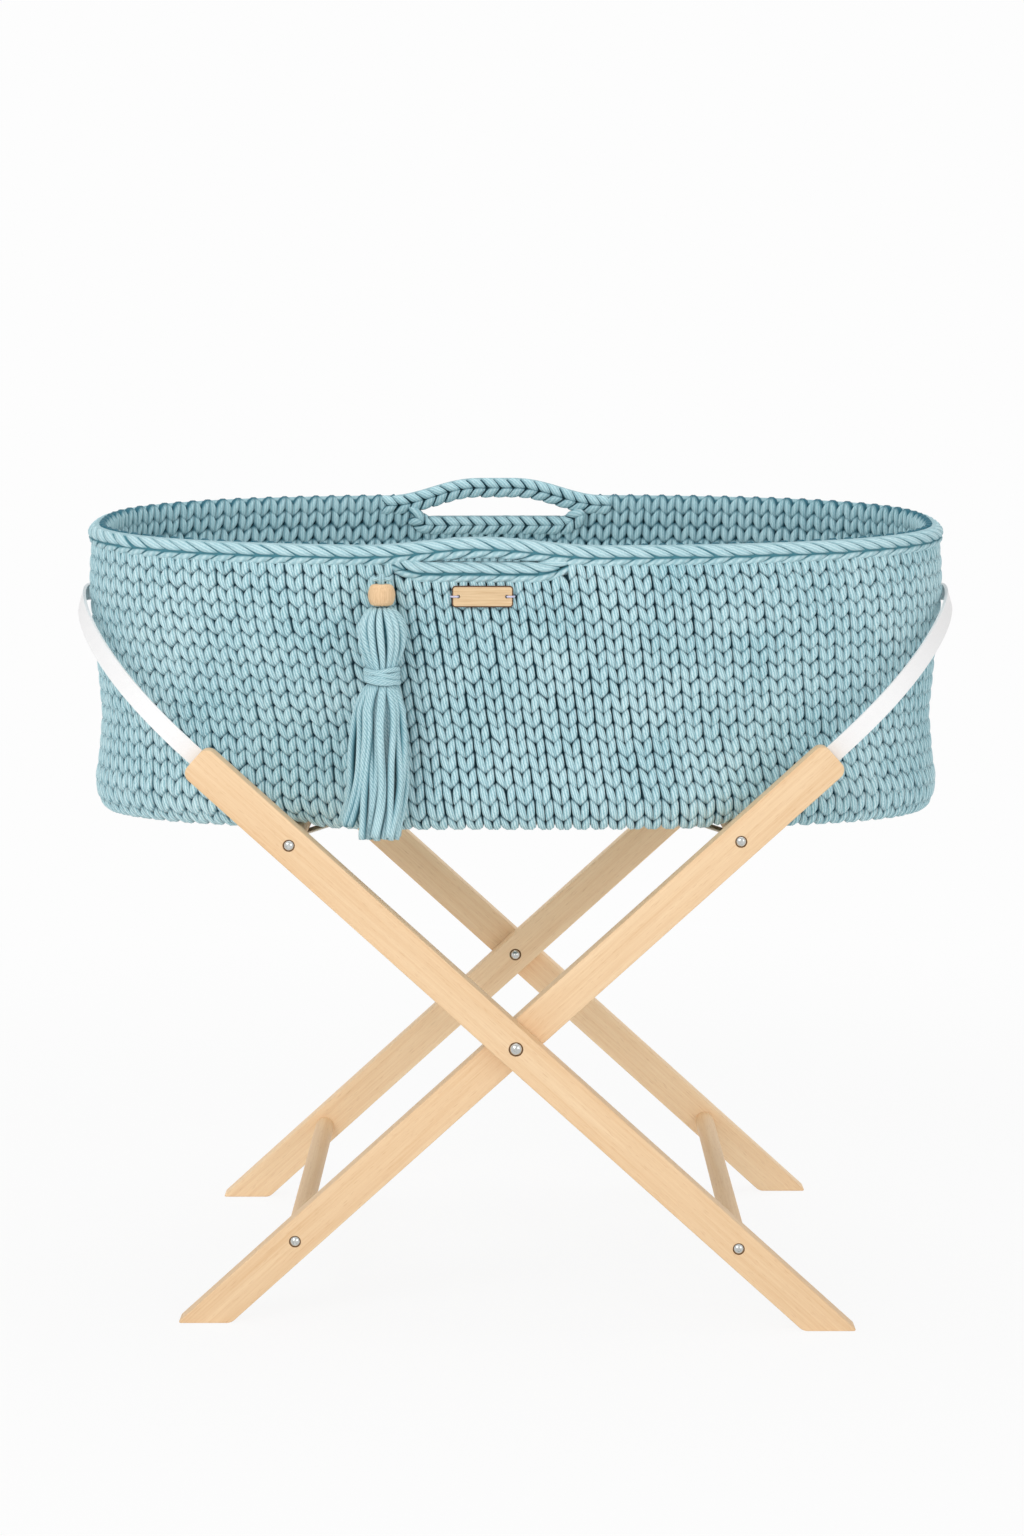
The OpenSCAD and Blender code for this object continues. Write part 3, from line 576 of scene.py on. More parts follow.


# %% [markdown]
# ## Cotton cord
# The yarn is a soft combed-cotton cord, 9 mm thick when it is crocheted, of many fine plies that lie
# along it with a slight twist. It is matt, with a little fuzz that lightens its edges, which is what
# Sheen does. The UV map of each leaf runs round it in u and along it in v, so the plies follow the cord.
# The relief attribute says how far a point stands out, and the finish paints the low points with a dark
# crease shade, so the creases are darker than the crowns.

# %% Cotton finish
def cotton(name, crease_shade, hollow, body, light, plies, twist):
    material, tree, shader, place = new_finish(name)
    split = add(tree, "SeparateXYZ", {0: place.outputs["UV"]})
    wound = add(tree, "Math", {0: split.outputs["Y"]}, {1: twist}, operation="MULTIPLY")
    # Dye takes unevenly over some 60 mm, and fuzz varies over 2.4 mm
    fuzz = add(tree, "TexNoise", {"Vector": place.outputs["Object"]},
               {"Scale": 420.0, "Detail": 3.0})
    dye = add(tree, "TexNoise", {"Vector": place.outputs["Object"]}, {"Scale": 16.0, "Detail": 2.0})
    wander = add(tree, "Math", {0: fuzz, 2: wound}, {1: 0.9}, operation="MULTIPLY_ADD")
    phase = add(tree, "Math", {0: split.outputs["X"], 2: wander}, {1: plies},
                operation="MULTIPLY_ADD")
    turned = add(tree, "Math", {0: phase}, {1: 2 * pi}, operation="MULTIPLY")
    wave = add(tree, "Math", {0: turned}, operation="SINE")
    ply = add(tree, "MapRange", {"Value": wave}, {"From Min": -1.0})
    mixed = add(tree, "Mix", {2: ply, 3: dye}, {0: 0.45}, data_type="FLOAT")
    ramp = add(tree, "ValToRGB", {0: mixed}, stops=((0.12, hollow), (0.45, body), (0.85, light)))
    # Painted shade: where the relief is low, the colour is mixed towards the crease shade
    relief = add(tree, "Attribute", attribute_name="relief")
    crown = add(tree, "MapRange", {"Value": relief.outputs["Fac"]},
                {"From Min": 0.55, "From Max": 0.99}, interpolation_type="SMOOTHSTEP")
    colour = add(tree, "Mix", {0: crown, 7: ramp}, {6: linear(crease_shade)}, data_type="RGBA")
    height = add(tree, "Mix", {2: ply, 3: fuzz}, {0: 0.4}, data_type="FLOAT")
    bump = add(tree, "Bump", {"Height": height}, {"Strength": 0.5, "Distance": 0.0006})
    wire(tree, shader, {"Base Color": colour.outputs[2], "Normal": bump},
         {"Roughness": 0.92, "Specular IOR Level": 0.2, "Sheen Weight": 0.12, "Sheen Roughness": 0.5})
    return material


stitch_cotton = cotton("combed_cotton_stitches", "#1b4a59", "#80b1bd", "#add3db", "#d9f0f3", 11.0, 1.5)
# Painted light: the lining is the outside's cord, painted lighter to make up for the shade inside the basket
lining_cotton_painted_lighter = cotton("combed_cotton_lining_painted_lighter", "#336b7b", "#99c5cf", "#b2d8e0", "#cdeaf0", 11.0, 1.5)
# Painted shade: a dark copy of the cotton for hidden hearts that lie in shade
painted_shade_cotton = cotton("combed_cotton_shadow", "#1f4753", "#2f5c69", "#3d6f7d", "#4d808d", 7.0, 1.5)
print("cotton:", stitch_cotton.name, lining_cotton_painted_lighter.name, painted_shade_cotton.name)

# %% [markdown]
# ## The wall's stitches
# The crochet was worked round and round, so its columns lean back a little from row to row, about
# 7 degrees. Each V gets two leaves with opposite tilts. Small seeded differences keep it handmade.
# The outside is split into four pieces, so that no mesh grows too large.

# %% Outside stitches
chance = np.random.default_rng(7)
stitch_wide, stitch_high, leaf_apart, leaf_sunk = 0.0170, 0.0150, 0.238, 0.0036
columns, rows = round(wall_round / stitch_wide), round(wall_up / stitch_high)
column_step, row_step = wall_round / columns, (wall_up + 0.004) / rows
lean, v_tilt, row_slant = tan(radians(7.2)), radians(2), 0.95


def v_places(first_row, first_column, last_column, keep):
    places = []
    for row in range(first_row, rows):
        for column in range(first_column, last_column):
            for side in (-1, 1):
                du, dh, dt = chance.normal(0, 1, 3) * (0.0003, 0.0003, 0.03)
                u = (column + 0.5 + side * leaf_apart) * column_step + du
                h = (row + 0.5) * row_step + dh
                if keep(u, h):
                    size = 1 + chance.normal(0, 0.016)
                    places.append((u, h, side * -v_tilt + dt, size, side * -row_slant))
    return places


def height_and_edge(u, h):
    turn = wall_turn(u - lean * h)
    z = basket_low + np.interp(h, climb, wall_shares) * (rim_seat(turn) - basket_low)
    return z, wall_edge(turn) + 0.002


def outside(u, h, out):
    return wall_point(u - lean * h, h, leaf_sunk - out)


def under_the_rim(u, h):
    z, edge = height_and_edge(u, h)
    return z < edge


quarter = [round(columns * i / 4) for i in range(5)]
for i, name in enumerate(("right_rear", "left_rear", "left_front", "right_front")):
    places = v_places(0, quarter[i], quarter[i + 1], under_the_rim)
    sew("wall_stitches_" + name, wall_leaf, places, outside, stitch_cotton)
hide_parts("basket_wall")

# %% [markdown]
# The inside shows the same stitches from the mattress up, in a copy of the cotton that is painted lighter,
# with a lighter crease shade, to make up for the shade inside the basket. Fewer sides per leaf are enough
# there. Seen from inside, u runs the other way, or the leaves would be turned inside out.

# %% Inside stitches
wall_thick, hidden_height = 0.014, 0.040


def inside(u, h, out):
    return wall_point(-u - lean * h, h, wall_thick - leaf_sunk + out)


def over_the_mattress(u, h):
    z, edge = height_and_edge(-u, h)
    return basket_low + hidden_height < z < edge


half = [0, columns // 2, columns]
for i, name in enumerate(("front", "rear")):
    places = v_places(2, half[i], half[i + 1], over_the_mattress)
    sew("lining_stitches_" + name, plain_leaf, places, inside, lining_cotton_painted_lighter)

# %% [markdown]
# Between the two layers lies the heart of the fabric. It is a closed ring of quads that follows the
# wall's edge, painted dark as the shade that light hardly reaches there, and it keeps daylight out of the
# small gaps.

# %% Heart of the wall
def ring_mesh(name, loops, closed_section, finish):
    rings, sides = len(loops), len(loops[0])
    faces = []
    for j in range(rings if closed_section else rings - 1):
        for i in range(sides):
            here, there, after = j * sides, ((j + 1) % rings) * sides, (i + 1) % sides
            faces.append((here + i, here + after, there + after, there + i))
    return dress(new_piece(name, np.concatenate(loops), faces), name, finish)


def wall_loop(share, inset):
    turn = np.linspace(0, 2 * pi, 241)[:-1]
    x, y = plan(turn, inset)
    return np.stack([x, y, basket_low + share * (wall_edge(turn) - basket_low)], 1)


heart_outer, heart_inner = 0.0046, 0.0094
heart_loops = [wall_loop(s, i + heart_outer) for s, i in zip(wall_shares, wall_insets)]
heart_loops += [wall_loop(s, i + heart_inner) for s, i in zip(wall_shares[::-1], wall_insets[::-1])]
heart = ring_mesh("wall_heart", heart_loops, True, painted_shade_cotton)
print("heart:", len(heart.data.polygons), "faces")

# %% [markdown]
# ## The rim's chain braid
# The basket's edge ends in a row of long chain stitches that lie along it: seen from outside they are
# chevrons that point one way, with a plump upper half and a thinner lower one. They are sewn as the
# wall is, on another piece of graph paper: u runs along the rim, and h is wound round a tube.

# %% A braid as graph paper
braid_inset, braid_sink = 0.010, 0.002
rim_r, slot_r = 0.0105, 0.0100
front_rise, rear_rise, rear_ramp = 0.008, 0.018, 0.095


def rim_height(turn):
    rise = np.where(np.sin(turn) < 0, front_rise, rear_rise)
    ramp = np.where(np.sin(turn) < 0, handle_length / 2, rear_ramp)
    return rim_seat(turn) + rim_r - braid_sink + rise * hump(from_handle(turn), handle_length, ramp)


def unit(vectors):
    return vectors / np.linalg.norm(vectors, axis=-1, keepdims=True)


def braid_paper(turn, height, closed, inset=braid_inset):
    x, y = plan(turn, inset)
    line = np.stack([x, y, height(turn)], 1)
    length = run_along(line)
    ahead = unit(np.gradient(line, axis=0))
    side = unit(np.cross(ahead, (0, 0, 1)))
    up = np.cross(side, ahead)

    def surface(u, angle, reach):
        u = np.mod(u, length[-1]) if closed else np.clip(u, 0, length[-1])
        middle, out, top = (np.stack([np.interp(u, length, way[:, k]) for k in range(3)], -1)
                            for way in (line, side, up))
        return middle + reach[..., None] * (np.cos(angle)[..., None] * out + np.sin(angle)[..., None] * top)

    return surface, length[-1]


rim_paper = braid_paper(np.linspace(0, 2 * pi, 6001), rim_height, True, braid_inset - 0.0015)
print("rim:", round(rim_paper[1], 3), "m round")

# %% [markdown]
# The chain's leaves are long and low. The two rows slant towards each other, 25 degrees from the rim,
# and a strong shear cuts their ends level, so that they close up into a smooth tube with fine creases.
# Their front ends tuck under the next pair. A row is given by its leaf, by the angle round the tube on
# which it is centred, in degrees, and by the way it slants.

# %% Chains
upper_leaf = leaf_of_cord(8, 8, 0.0315, 0.0081, 0.0062, (0.0020, 0.0012), (7, 7), 0)
lower_leaf = leaf_of_cord(8, 8, 0.0240, 0.0081, 0.0060, (0.0020, 0.0012), (7, 7), 0)
rim_cotton = cotton("combed_cotton_rim", "#4d8592", "#9cc5ce", "#b2d4db", "#cae4e9", 9.0, 2.5)
outer_rows = (("_chain_low", lower_leaf, -44, 1), ("_chain", upper_leaf, 36, -1))
outer_look = (outer_rows, radians(25), rim_cotton)


def chain_row(length, pitch, girth, centre, way, slope):
    count = round(length / pitch)
    places = []
    for i in range(count):
        du, dt = chance.normal(0, 1, 2) * (0.0004, 0.02)
        places.append(((i + 0.5) * length / count + du, radians(centre) * girth, way * slope - pi / 2 + dt,
                       1 + chance.normal(0, 0.015), -way / tan(slope)))
    return places


def sew_chain(name, surface, length, girth, pitch, look):
    def on_tube(u, h, out):
        return surface(u, h / girth, girth + out)

    chain_rows, slope, finish = look
    for ending, leaf, centre, way in chain_rows:
        places = chain_row(length, pitch, girth, centre, way, slope)
        chain = sew(name + ending, leaf, places, on_tube, finish)
    return chain


rim_girth, rim_pitch = 0.0076, 0.0186
rim_chain = sew_chain("rim", *rim_paper, rim_girth, rim_pitch, outer_look)
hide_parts("rim_braid_left", "rim_braid_right", "front_handle", "rear_handle")

# %% [markdown]
# A hand goes through the slot under each handle, and the wall's edge there has a chain of its own. In
# front the empty slot is all but closed, so its chain sits a little higher than the CAD tube, and at the
# back it sits a little lower. Its ends slip behind the rim.

# %% Slot chains
handles = (("front", -1, front_handle_x), ("rear", 1, rear_handle_x))
slot_girth, slot_pitch = 0.0080, 0.0170
front_lift, rear_drop, end_dip = 0.004, 0.003, 0.007
front_out, end_in = 0.0035, 0.004


def handle_turns(side, middle, reach):
    turn = np.linspace(0, pi, 4001)
    first, last = (side * np.interp(-(middle + way * side * reach), -plan(turn, 0)[0], turn)
                   for way in (1, -1))
    return np.linspace(first, last, 801)


def slot_line(turn):
    raised = np.where(np.sin(turn) < 0, front_lift, -rear_drop)
    return wall_edge(turn) + slot_r - braid_sink + raised - end_dip * (1 - slot_hump(turn))


def slot_inset(turn):
    outward = np.where(np.sin(turn) < 0, front_out, 0)
    return braid_inset - outward * slot_hump(turn) + end_in * (1 - slot_hump(turn))


slot_papers = {}
for name, side, middle in handles:
    turn = handle_turns(side, middle, slot_length / 2)
    slot_papers[name] = braid_paper(turn, slot_line, False, slot_inset(turn))
    chain = sew_chain(name + "_slot", *slot_papers[name], slot_girth, slot_pitch, outer_look)
    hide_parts(name + "_slot_braid")

# %% [markdown]
# From inside, the wall's stitches run on right up to the edge. So the rim's inner side is one more row of
# Vs on the wall's inner surface. The handles and their slots show a steeper chain on this side.

# %% Inner side of the rim
inner_leaf = leaf_of_cord(8, 8, 0.0172, 0.0098, 0.0080, (0.0020, 0.0014), (6, 6), 0)
inner_rows = (("_inner_chain_low", inner_leaf, 214, 1), ("_inner_chain", inner_leaf, 146, -1))
inner_look = (inner_rows, radians(45), lining_cotton_painted_lighter)
handle_girth, inner_pitch = 0.0085, 0.0140
row_inset, row_rise, row_size = 0.0134, 0.0008, 1.02


def rim_inside(u, h, out):
    turn = wall_turn(-u - lean * (wall_up + h))
    x, y = plan(turn, row_inset + out)
    return np.stack([x, y, rim_height(turn) + h], -1)


def at_handle(u):
    x, y = plan(wall_turn(-u - lean * wall_up), 0)
    return abs(x - (front_handle_x if y < 0 else rear_handle_x)) < handle_length / 2 + 0.004


inner_places = [((i + 0.5 + side * 0.25) * column_step, row_rise, side * -v_tilt, row_size, side * -row_slant)
                for i in range(columns) if not at_handle((i + 0.5) * column_step) for side in (-1, 1)]
sew("rim_inner_row", plain_leaf, inner_places, rim_inside, lining_cotton_painted_lighter)
for name, side, middle in handles:
    handle_paper = braid_paper(handle_turns(side, middle, handle_length / 2 + 0.010), rim_height, False)
    sew_chain(name + "_handle", *handle_paper, handle_girth, inner_pitch, inner_look)
    sew_chain(name + "_slot", *slot_papers[name], slot_girth, inner_pitch, inner_look)

# %% [markdown]
# Inside each braid runs a core of the same cord. Its crest shows as the smooth top of the rim, and the
# rest of it is in shade. The relief attribute that the cotton finish reads says which part is which.

# %% Cores of the braids
crest_rise, inner_cut, end_gap = 0.0022, 0.0040, 0.030


def core_tube(name, surface, length, radius, count, closed):
    around = np.linspace(0, 2 * pi, 17)[:-1]
    crest = np.maximum(np.sin(around), 0) ** 4
    inner = np.maximum(-np.cos(around), 0)
    if closed:
        along = np.linspace(0, length, count + 1)[:-1]
    else:
        along = np.linspace(end_gap, length - end_gap, count)
    loops = [surface(np.full(16, u), around, radius + crest_rise * crest - inner_cut * inner) for u in along]
    piece = ring_mesh(name, loops, closed, rim_cotton)
    lit = piece.data.attributes.new("relief", "FLOAT", "POINT")
    lit.data.foreach_set("value", np.tile(np.where(crest > 0.5, 0.80, 0.3), count))
    if not closed:
        edit_all(piece)
        bpy.ops.mesh.fill_holes(sides=0)
        bpy.ops.object.mode_set(mode="OBJECT")
    print(name, len(piece.data.polygons), "faces")


core_tube("rim_core", *rim_paper, 0.0082, 220, True)
for name, paper in slot_papers.items():
    core_tube(name + "_slot_core", *paper, 0.0078, 40, False)

# %% [markdown]
# ## The wooden tag
# A small plate of thin plywood is sewn to the front, cut by a laser, which browns its edge. It is a cube
# whose corners are bevelled round. Insetting its face gives the browned border its own faces. The plate
# is left bare.

# %% Tag finishes
def light_wood(name, dark, light, turn):
    material, tree, shader, place = new_finish(name)
    turned = add(tree, "Mapping", {"Vector": place.outputs["Object"]}, {"Rotation": turn})
    # Grain lines 1 mm wide and 25 mm long
    stretched = add(tree, "Mapping", {"Vector": turned}, {"Scale": (40, 1000, 1000)})
    grain = add(tree, "TexNoise", {"Vector": stretched}, {"Scale": 1.0, "Detail": 3.0})
    ramp = add(tree, "ValToRGB", {0: grain}, stops=((0.3, dark), (0.7, light)))
    relief = add(tree, "Bump", {"Height": grain}, {"Strength": 0.15, "Distance": 0.0003})
    wire(tree, shader, {"Base Color": ramp, "Normal": relief}, {"Roughness": 0.6})
    return material


tag_wood = light_wood("birch_plywood", "#d3b186", "#e4c69d", (0, 0, 0))
burnt_wood = light_wood("laser_browned_plywood", "#3a2416", "#68462b", (0, 0, 0))
print("tag finishes:", tag_wood.name, burnt_wood.name)

# %% [markdown]
# The holes are drilled as the legs' seats are, by two thin cylinders with the browned finish.

# %% Tag
tag_low, tag_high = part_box("wooden_tag")
tag_middle = (tag_low + tag_high) / 2
tag_size = tag_high - tag_low
corner_round, border, eased = 0.0033, 0.0012, 0.0003
hole_out, hole_width = 0.0225, 0.0030
bpy.ops.mesh.primitive_cube_add(size=1, location=tag_middle, scale=tag_size)
tag = bpy.context.object
bpy.ops.object.transform_apply()
pick(tag, "edges", lambda p: abs(p[0].y - p[1].y) > 0.002)
bpy.ops.mesh.bevel(offset=corner_round, segments=6, affect="EDGES")
pick(tag, "polygons", lambda p: all(v.y < tag_low.y + 1e-5 for v in p))
bpy.ops.mesh.inset(thickness=border, depth=0)
bpy.ops.object.mode_set(mode="OBJECT")
tag.data.materials.append(burnt_wood)
tag.data.materials.append(tag_wood)
for face in tag.data.polygons:
    face.material_index = 1 if face.select else 0
holes = [(tag_middle.x + x, tag_middle.z, hole_width) for x in (-hole_out, hole_out)]
drill(tag, holes, tag_middle.y, 0.02, burnt_wood, 24)
ease(tag, eased, 2, 50)
bpy.ops.object.shade_smooth_by_angle(angle=radians(35))
dress(tag, "plywood_tag", None, "basket")
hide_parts("wooden_tag")
print("tag:", [round(v * 1000, 1) for v in tag_size], "mm,", len(tag.data.polygons), "faces")

# %% [markdown]
# ## Threads and cords
# All loose yarn is a tube along a path. A curve with a bevel would do for one of them, but a curve's UV
# map doesn't follow the twist of the cord, so this helper sweeps a ring along each path itself: it
# carries the ring's direction from point to point, which keeps the tube from twisting. In a bundle round
# a middle line, the relief attribute is 1 where a strand faces outwards and 0.5 where it faces inwards,
# so the cotton finish paints shade on the inward sides.

# %% Sweeping yarn
def smooth_path(points, count):
    points = np.array(points, float)
    knots = np.linspace(0, 1, len(points))
    fine = np.linspace(0, 1, count)
    path = np.stack([np.interp(fine, knots, points[:, k]) for k in range(3)], 1)
    for _ in range(max(2, count // len(points))):
        path[1:-1] = (path[:-2] + 2 * path[1:-1] + path[2:]) / 4
    return path


def yarn(name, paths, radii, sides, finish, body="basket", middle=None):
    points, faces, uv, painted_light_share, start = [], [], [], [], 0
    for path, radius in zip(paths, radii):
        radius = np.broadcast_to(radius, len(path))
        length = run_along(path) / 0.01
        ahead = unit(np.gradient(path, axis=0))
        first = np.array((1.0, 0, 0)) if abs(ahead[0][0]) < 0.8 else np.array((0, 1.0, 0))
        outward = 0 * path if middle is None else unit((path - middle) * (1, 1, 0))
        for j, way in enumerate(ahead):
            first = unit(first - way * (first @ way))
            second = np.cross(way, first)
            for k in range(sides):
                a = 2 * pi * k / sides
                ray = cos(a) * first + sin(a) * second
                points.append(path[j] + radius[j] * ray)
                painted_light_share.append(1.0 if middle is None else 0.75 + 0.25 * ray @ outward[j])
        for j in range(len(path) - 1):
            for k in range(sides):
                a, b = start + j * sides + k, start + j * sides + (k + 1) % sides
                faces.append((a, b, b + sides, a + sides))
                u0, u1, v0, v1 = k / sides, (k + 1) / sides, length[j], length[j + 1]
                uv += [(u0, v0), (u1, v0), (u1, v1), (u0, v1)]
        last = start + (len(path) - 1) * sides
        faces.append(tuple(range(start + sides - 1, start - 1, -1)))
        faces.append(tuple(range(last, last + sides)))
        uv += [(0.5, 0)] * sides + [(0.5, length[-1])] * sides
        start += len(path) * sides
    piece = new_piece(name, points, faces)
    piece.data.uv_layers.new(name="cord").data.foreach_set("uv", np.array(uv, np.float32).ravel())
    relief = piece.data.attributes.new("relief", "FLOAT", "POINT")
    relief.data.foreach_set("value", np.array(painted_light_share, np.float32))
    print(name, len(paths), "strands,", len(faces), "faces")
    return dress(piece, name, finish, body)


# %% [markdown]
# Each end of the tag is held by one pale lilac thread. It comes out of the wall through the hole, lies
# over the tag's end and goes back into the wall.

# %% Tag thread
thread_cotton = cotton("lilac_sewing_thread", "#8d89ad", "#b9b6d6", "#cdcbe4", "#dedcf0", 3.0, 4.0)
thread_r = 0.0009
over, behind = tag_low.y - thread_r - 0.0001, tag_high.y + 0.006
thread_paths = []
for side in (-1, 1):
    hole, end = tag_middle.x + side * hole_out, tag_middle.x + side * (tag_size.x / 2 + 0.0011)
    corners = [(hole, behind), (hole, tag_low.y + 0.0006), (hole + side * 0.0008, over),
               (end - side * 0.0010, over), (end, tag_low.y + 0.0004), (end, behind)]
    thread_paths.append(smooth_path([(x, y, tag_middle.z) for x, y in corners], 36))
threads = yarn("tag_thread", thread_paths, [thread_r, thread_r], 8, thread_cotton, "basket")
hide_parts("tag_stitches")

# %% [markdown]
# ## The tassel
# The tassel hangs in front of the wall from a small loop of the same yarn: a doubled cord goes round the
# loop and down through a wooden bead into a gathered head, a wrap ties the neck, and loose cords fan
# out below it. All of it is measured from the point where it swings.

# %% Loop and cord
tassel_x, tassel_y, loop_z = -0.124, -0.2176, 0.70994
bead_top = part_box("tassel_bead")[1].z + 0.0015
head_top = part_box("tassel_head")[1].z
cord_cotton = cotton("twisted_cotton_cord", "#477f8d", "#7eaeb9", "#a9cdd5", "#c8e4e9", 7.0, 2.4)
loop_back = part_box("tassel_loop")[1].y
loop_half, loop_corner, loop_yarn_r = 0.008, 0.003, 0.0020
loop_left = [(-loop_half, loop_back), (-loop_half, tassel_y + loop_corner), (-0.006, tassel_y)]
loop_line = loop_left + [(-x, y) for x, y in loop_left[::-1]]
loop_path = smooth_path([(tassel_x + x, y, loop_z) for x, y in loop_line], 40)
loop = yarn("tassel_hanging_loop", [loop_path], [loop_yarn_r], 10, cord_cotton)
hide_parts("tassel_loop")
stem_r, arch_r = 0.0013, 0.00405
stem_front = [(-0.0011, head_top - loop_z - 0.004), (-0.0011, -0.014), (-0.0013, -0.008)]
stem_line = stem_front + [(-arch_r * cos(a), arch_r * sin(a)) for a in np.linspace(0, pi, 9)]
stem_line += [(-y, z) for y, z in stem_front[::-1]]
stem_paths = [smooth_path([(x, y, z) for y, z in stem_line], 60) + (tassel_x, tassel_y, loop_z)
              for x in (-stem_r, stem_r)]
stem = yarn("tassel_doubled_cord", stem_paths, [stem_r, stem_r], 8, cord_cotton, "tassel")
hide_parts("tassel_cord")

# %% [markdown]
# The bead was turned on a lathe, so it is made as on one: half of its section is drawn, and Spin turns it
# round the axis.

# %% Bead
bead_half = 0.0100
section = [(0.0031, -1), (0.0074, -1), (0.0093, -0.94), (0.0107, -0.80), (0.0118, -0.55), (0.0125, -0.25),
           (0.0127, 0)]
section += [(r, -z) for r, z in section[-2::-1]]
bead = new_piece("tassel_wooden_bead",
                 [(tassel_x + r, tassel_y, bead_top - bead_half + z * bead_half) for r, z in section], [],
                 [(i, (i + 1) % len(section)) for i in range(len(section))])
edit_all(bead)
bpy.ops.mesh.spin(steps=48, angle=2 * pi, center=(tassel_x, tassel_y, bead_top), axis=(0, 0, 1))
bpy.ops.mesh.select_all(action="SELECT")
bpy.ops.mesh.remove_doubles(threshold=1e-6)
bpy.ops.mesh.normals_make_consistent(inside=False)
bpy.ops.object.mode_set(mode="OBJECT")
bpy.ops.object.shade_smooth_by_angle(angle=radians(50))
bead_wood = light_wood("turned_beech_bead", "#d8b186", "#ecca9f", (0, pi / 2, 0))
dress(bead, "tassel_wooden_bead", bead_wood, "tassel")
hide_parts("tassel_bead")
print("bead:", len(bead.data.polygons), "faces")

# %% [markdown]
# The head is a hank of fifteen strands that come out under the bead, bulge and draw in at the neck. Each
# strand follows the head's profile, a little twisted, and swells with it. A heart painted dark as shade fills
# the middle.

# %% Head
head_height, head_r, strand_r, strand_count = 0.0545, 0.019, 0.0036, 15
head_shares = [0, .1, .25, .42, .65, .85, 1, 1.15]
head_girths = [.55, .80, .97, 1, .94, .80, .70, .66]
tassel_middle = (tassel_x, tassel_y, 0)
share = np.linspace(0, head_shares[-1], 26)
girth = np.interp(share, head_shares, head_girths)
wide = 1 + 0.25 * np.sin(pi * np.clip(share, 0, 1)) ** 0.7
head_paths, head_radii = [], []
for i in range(strand_count):
    thick = strand_r * girth * (1 + 0.08 * chance.normal())
    angle = 2 * pi * (i + 0.10 * chance.normal()) / strand_count + 0.25 * share
    reach = girth * head_r * (1 + 0.04 * np.sin(5 * share + 2.1 * i)) - thick
    head_paths.append(np.stack([tassel_x + wide * reach * np.cos(angle), tassel_y + reach * np.sin(angle),
                                head_top - 0.0005 - share * head_height], 1))
    head_radii.append(thick)
head = yarn("tassel_gathered_head", head_paths, head_radii, 12, cord_cotton, "tassel",
            middle=tassel_middle)
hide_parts("tassel_head")
heart_share = np.linspace(0.02, 1.45, 20)
heart_path = np.stack([np.full(20, tassel_x), np.full(20, tassel_y), head_top - heart_share * head_height], 1)
heart_r = np.interp(heart_share, head_shares, head_girths) * head_r - 0.0052
yarn("tassel_heart", [heart_path], [heart_r], 16, painted_shade_cotton, "tassel")

# %% [markdown]
# The wrap is one yarn wound five times and pulled tight. A hand winds it askew, so each turn lies in a
# plane that tips, now to one side and now to the other, and crosses over the turn before it.

# %% Wrap
wrap_low, wrap_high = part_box("tassel_wrap")
wrap_middle = (wrap_low.z + wrap_high.z) / 2 + 0.001
wrap_turns, wrap_pitch, wrap_yarn_r = 5, 0.00264, 0.0024
neck_r, neck_swell, wrap_tip = 0.0143, 0.0010, 0.0034
turns = np.linspace(0, wrap_turns, wrap_turns * 32 + 1)
wrap_angle = 2 * pi * turns + 2.0
askew = wrap_tip * np.sin(2 * pi * turns / 2.4 + 0.8)
wrap_r = neck_r + neck_swell * np.sin(pi * turns / 2.5) ** 2
wrap_z = wrap_middle + (wrap_turns / 2 - turns) * wrap_pitch + askew * np.cos(wrap_angle)
wrap_path = np.stack([tassel_x + wrap_r * np.cos(wrap_angle), tassel_y + wrap_r * np.sin(wrap_angle),
                      wrap_z], 1)
wrap = yarn("tassel_neck_wrap", [wrap_path], [wrap_yarn_r], 8, cord_cotton, "tassel")
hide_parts("tassel_wrap")

# %% [markdown]
# The skirt's loose cords hang from the neck in three layers. They bulge out at once, hang almost straight,
# and end at uneven lengths. The cords on the left part from the others and flare out. Two lines, read
# from the photograph, give the skirt's left and right edge on the way down.

# %% Skirt
skirt_top, skirt_end = wrap_middle - 0.007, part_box("tassel_skirt")[0].z - 0.004
edge_shares = [0, .06, .17, .4, .63, .8, 1]
left_edge = [-.0130, -.0215, -.0285, -.0310, -.0325, -.0330, -.0335]
right_edge = [.0130, .0175, .0225, .0240, .0240, .0225, .0195]
bulge = [0, .4, .8, 1, 1, .9, .7]
cord_r, neck_depth, bulge_depth, ripple = 0.0033, 0.0125, 0.0060, 0.0015
skirt_paths = []
for count, layer in ((20, 1.0), (12, 0.62), (5, 0.25)):
    for i in range(count):
        angle = 2 * pi * (i + 0.3 * chance.normal()) / count
        side = layer * cos(angle)
        flares = side < -0.5
        share = np.linspace(0, 1, 24) * (0.90 if flares else 0.97 + 0.03 * chance.random())
        low = np.interp(share, edge_shares, left_edge) + cord_r
        high = np.interp(share, edge_shares, right_edge) - cord_r
        late = np.clip((share - 0.55) / 0.4, 0, 1) ** 2
        phase = 2 * pi * chance.random(2)
        wave = ripple * np.clip(4 * share, 0, 1)
        x = low + (high - low) * (side + 1) / 2 + late * (-0.0130 if flares else -0.0030)
        x += wave * np.sin(7 * share + phase[0])
        deep = neck_depth + bulge_depth * np.interp(share, edge_shares, bulge) - cord_r
        y = layer * deep * np.sin(angle) + wave * np.sin(6 * share + phase[1])
        z = skirt_top + (skirt_end - skirt_top) * share
        skirt_paths.append(np.stack([tassel_x + x, tassel_y + y, z], 1))
skirt = yarn("tassel_skirt_cords", skirt_paths, [cord_r] * len(skirt_paths), 10, cord_cotton, "tassel",
             middle=tassel_middle)
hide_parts("tassel_skirt")

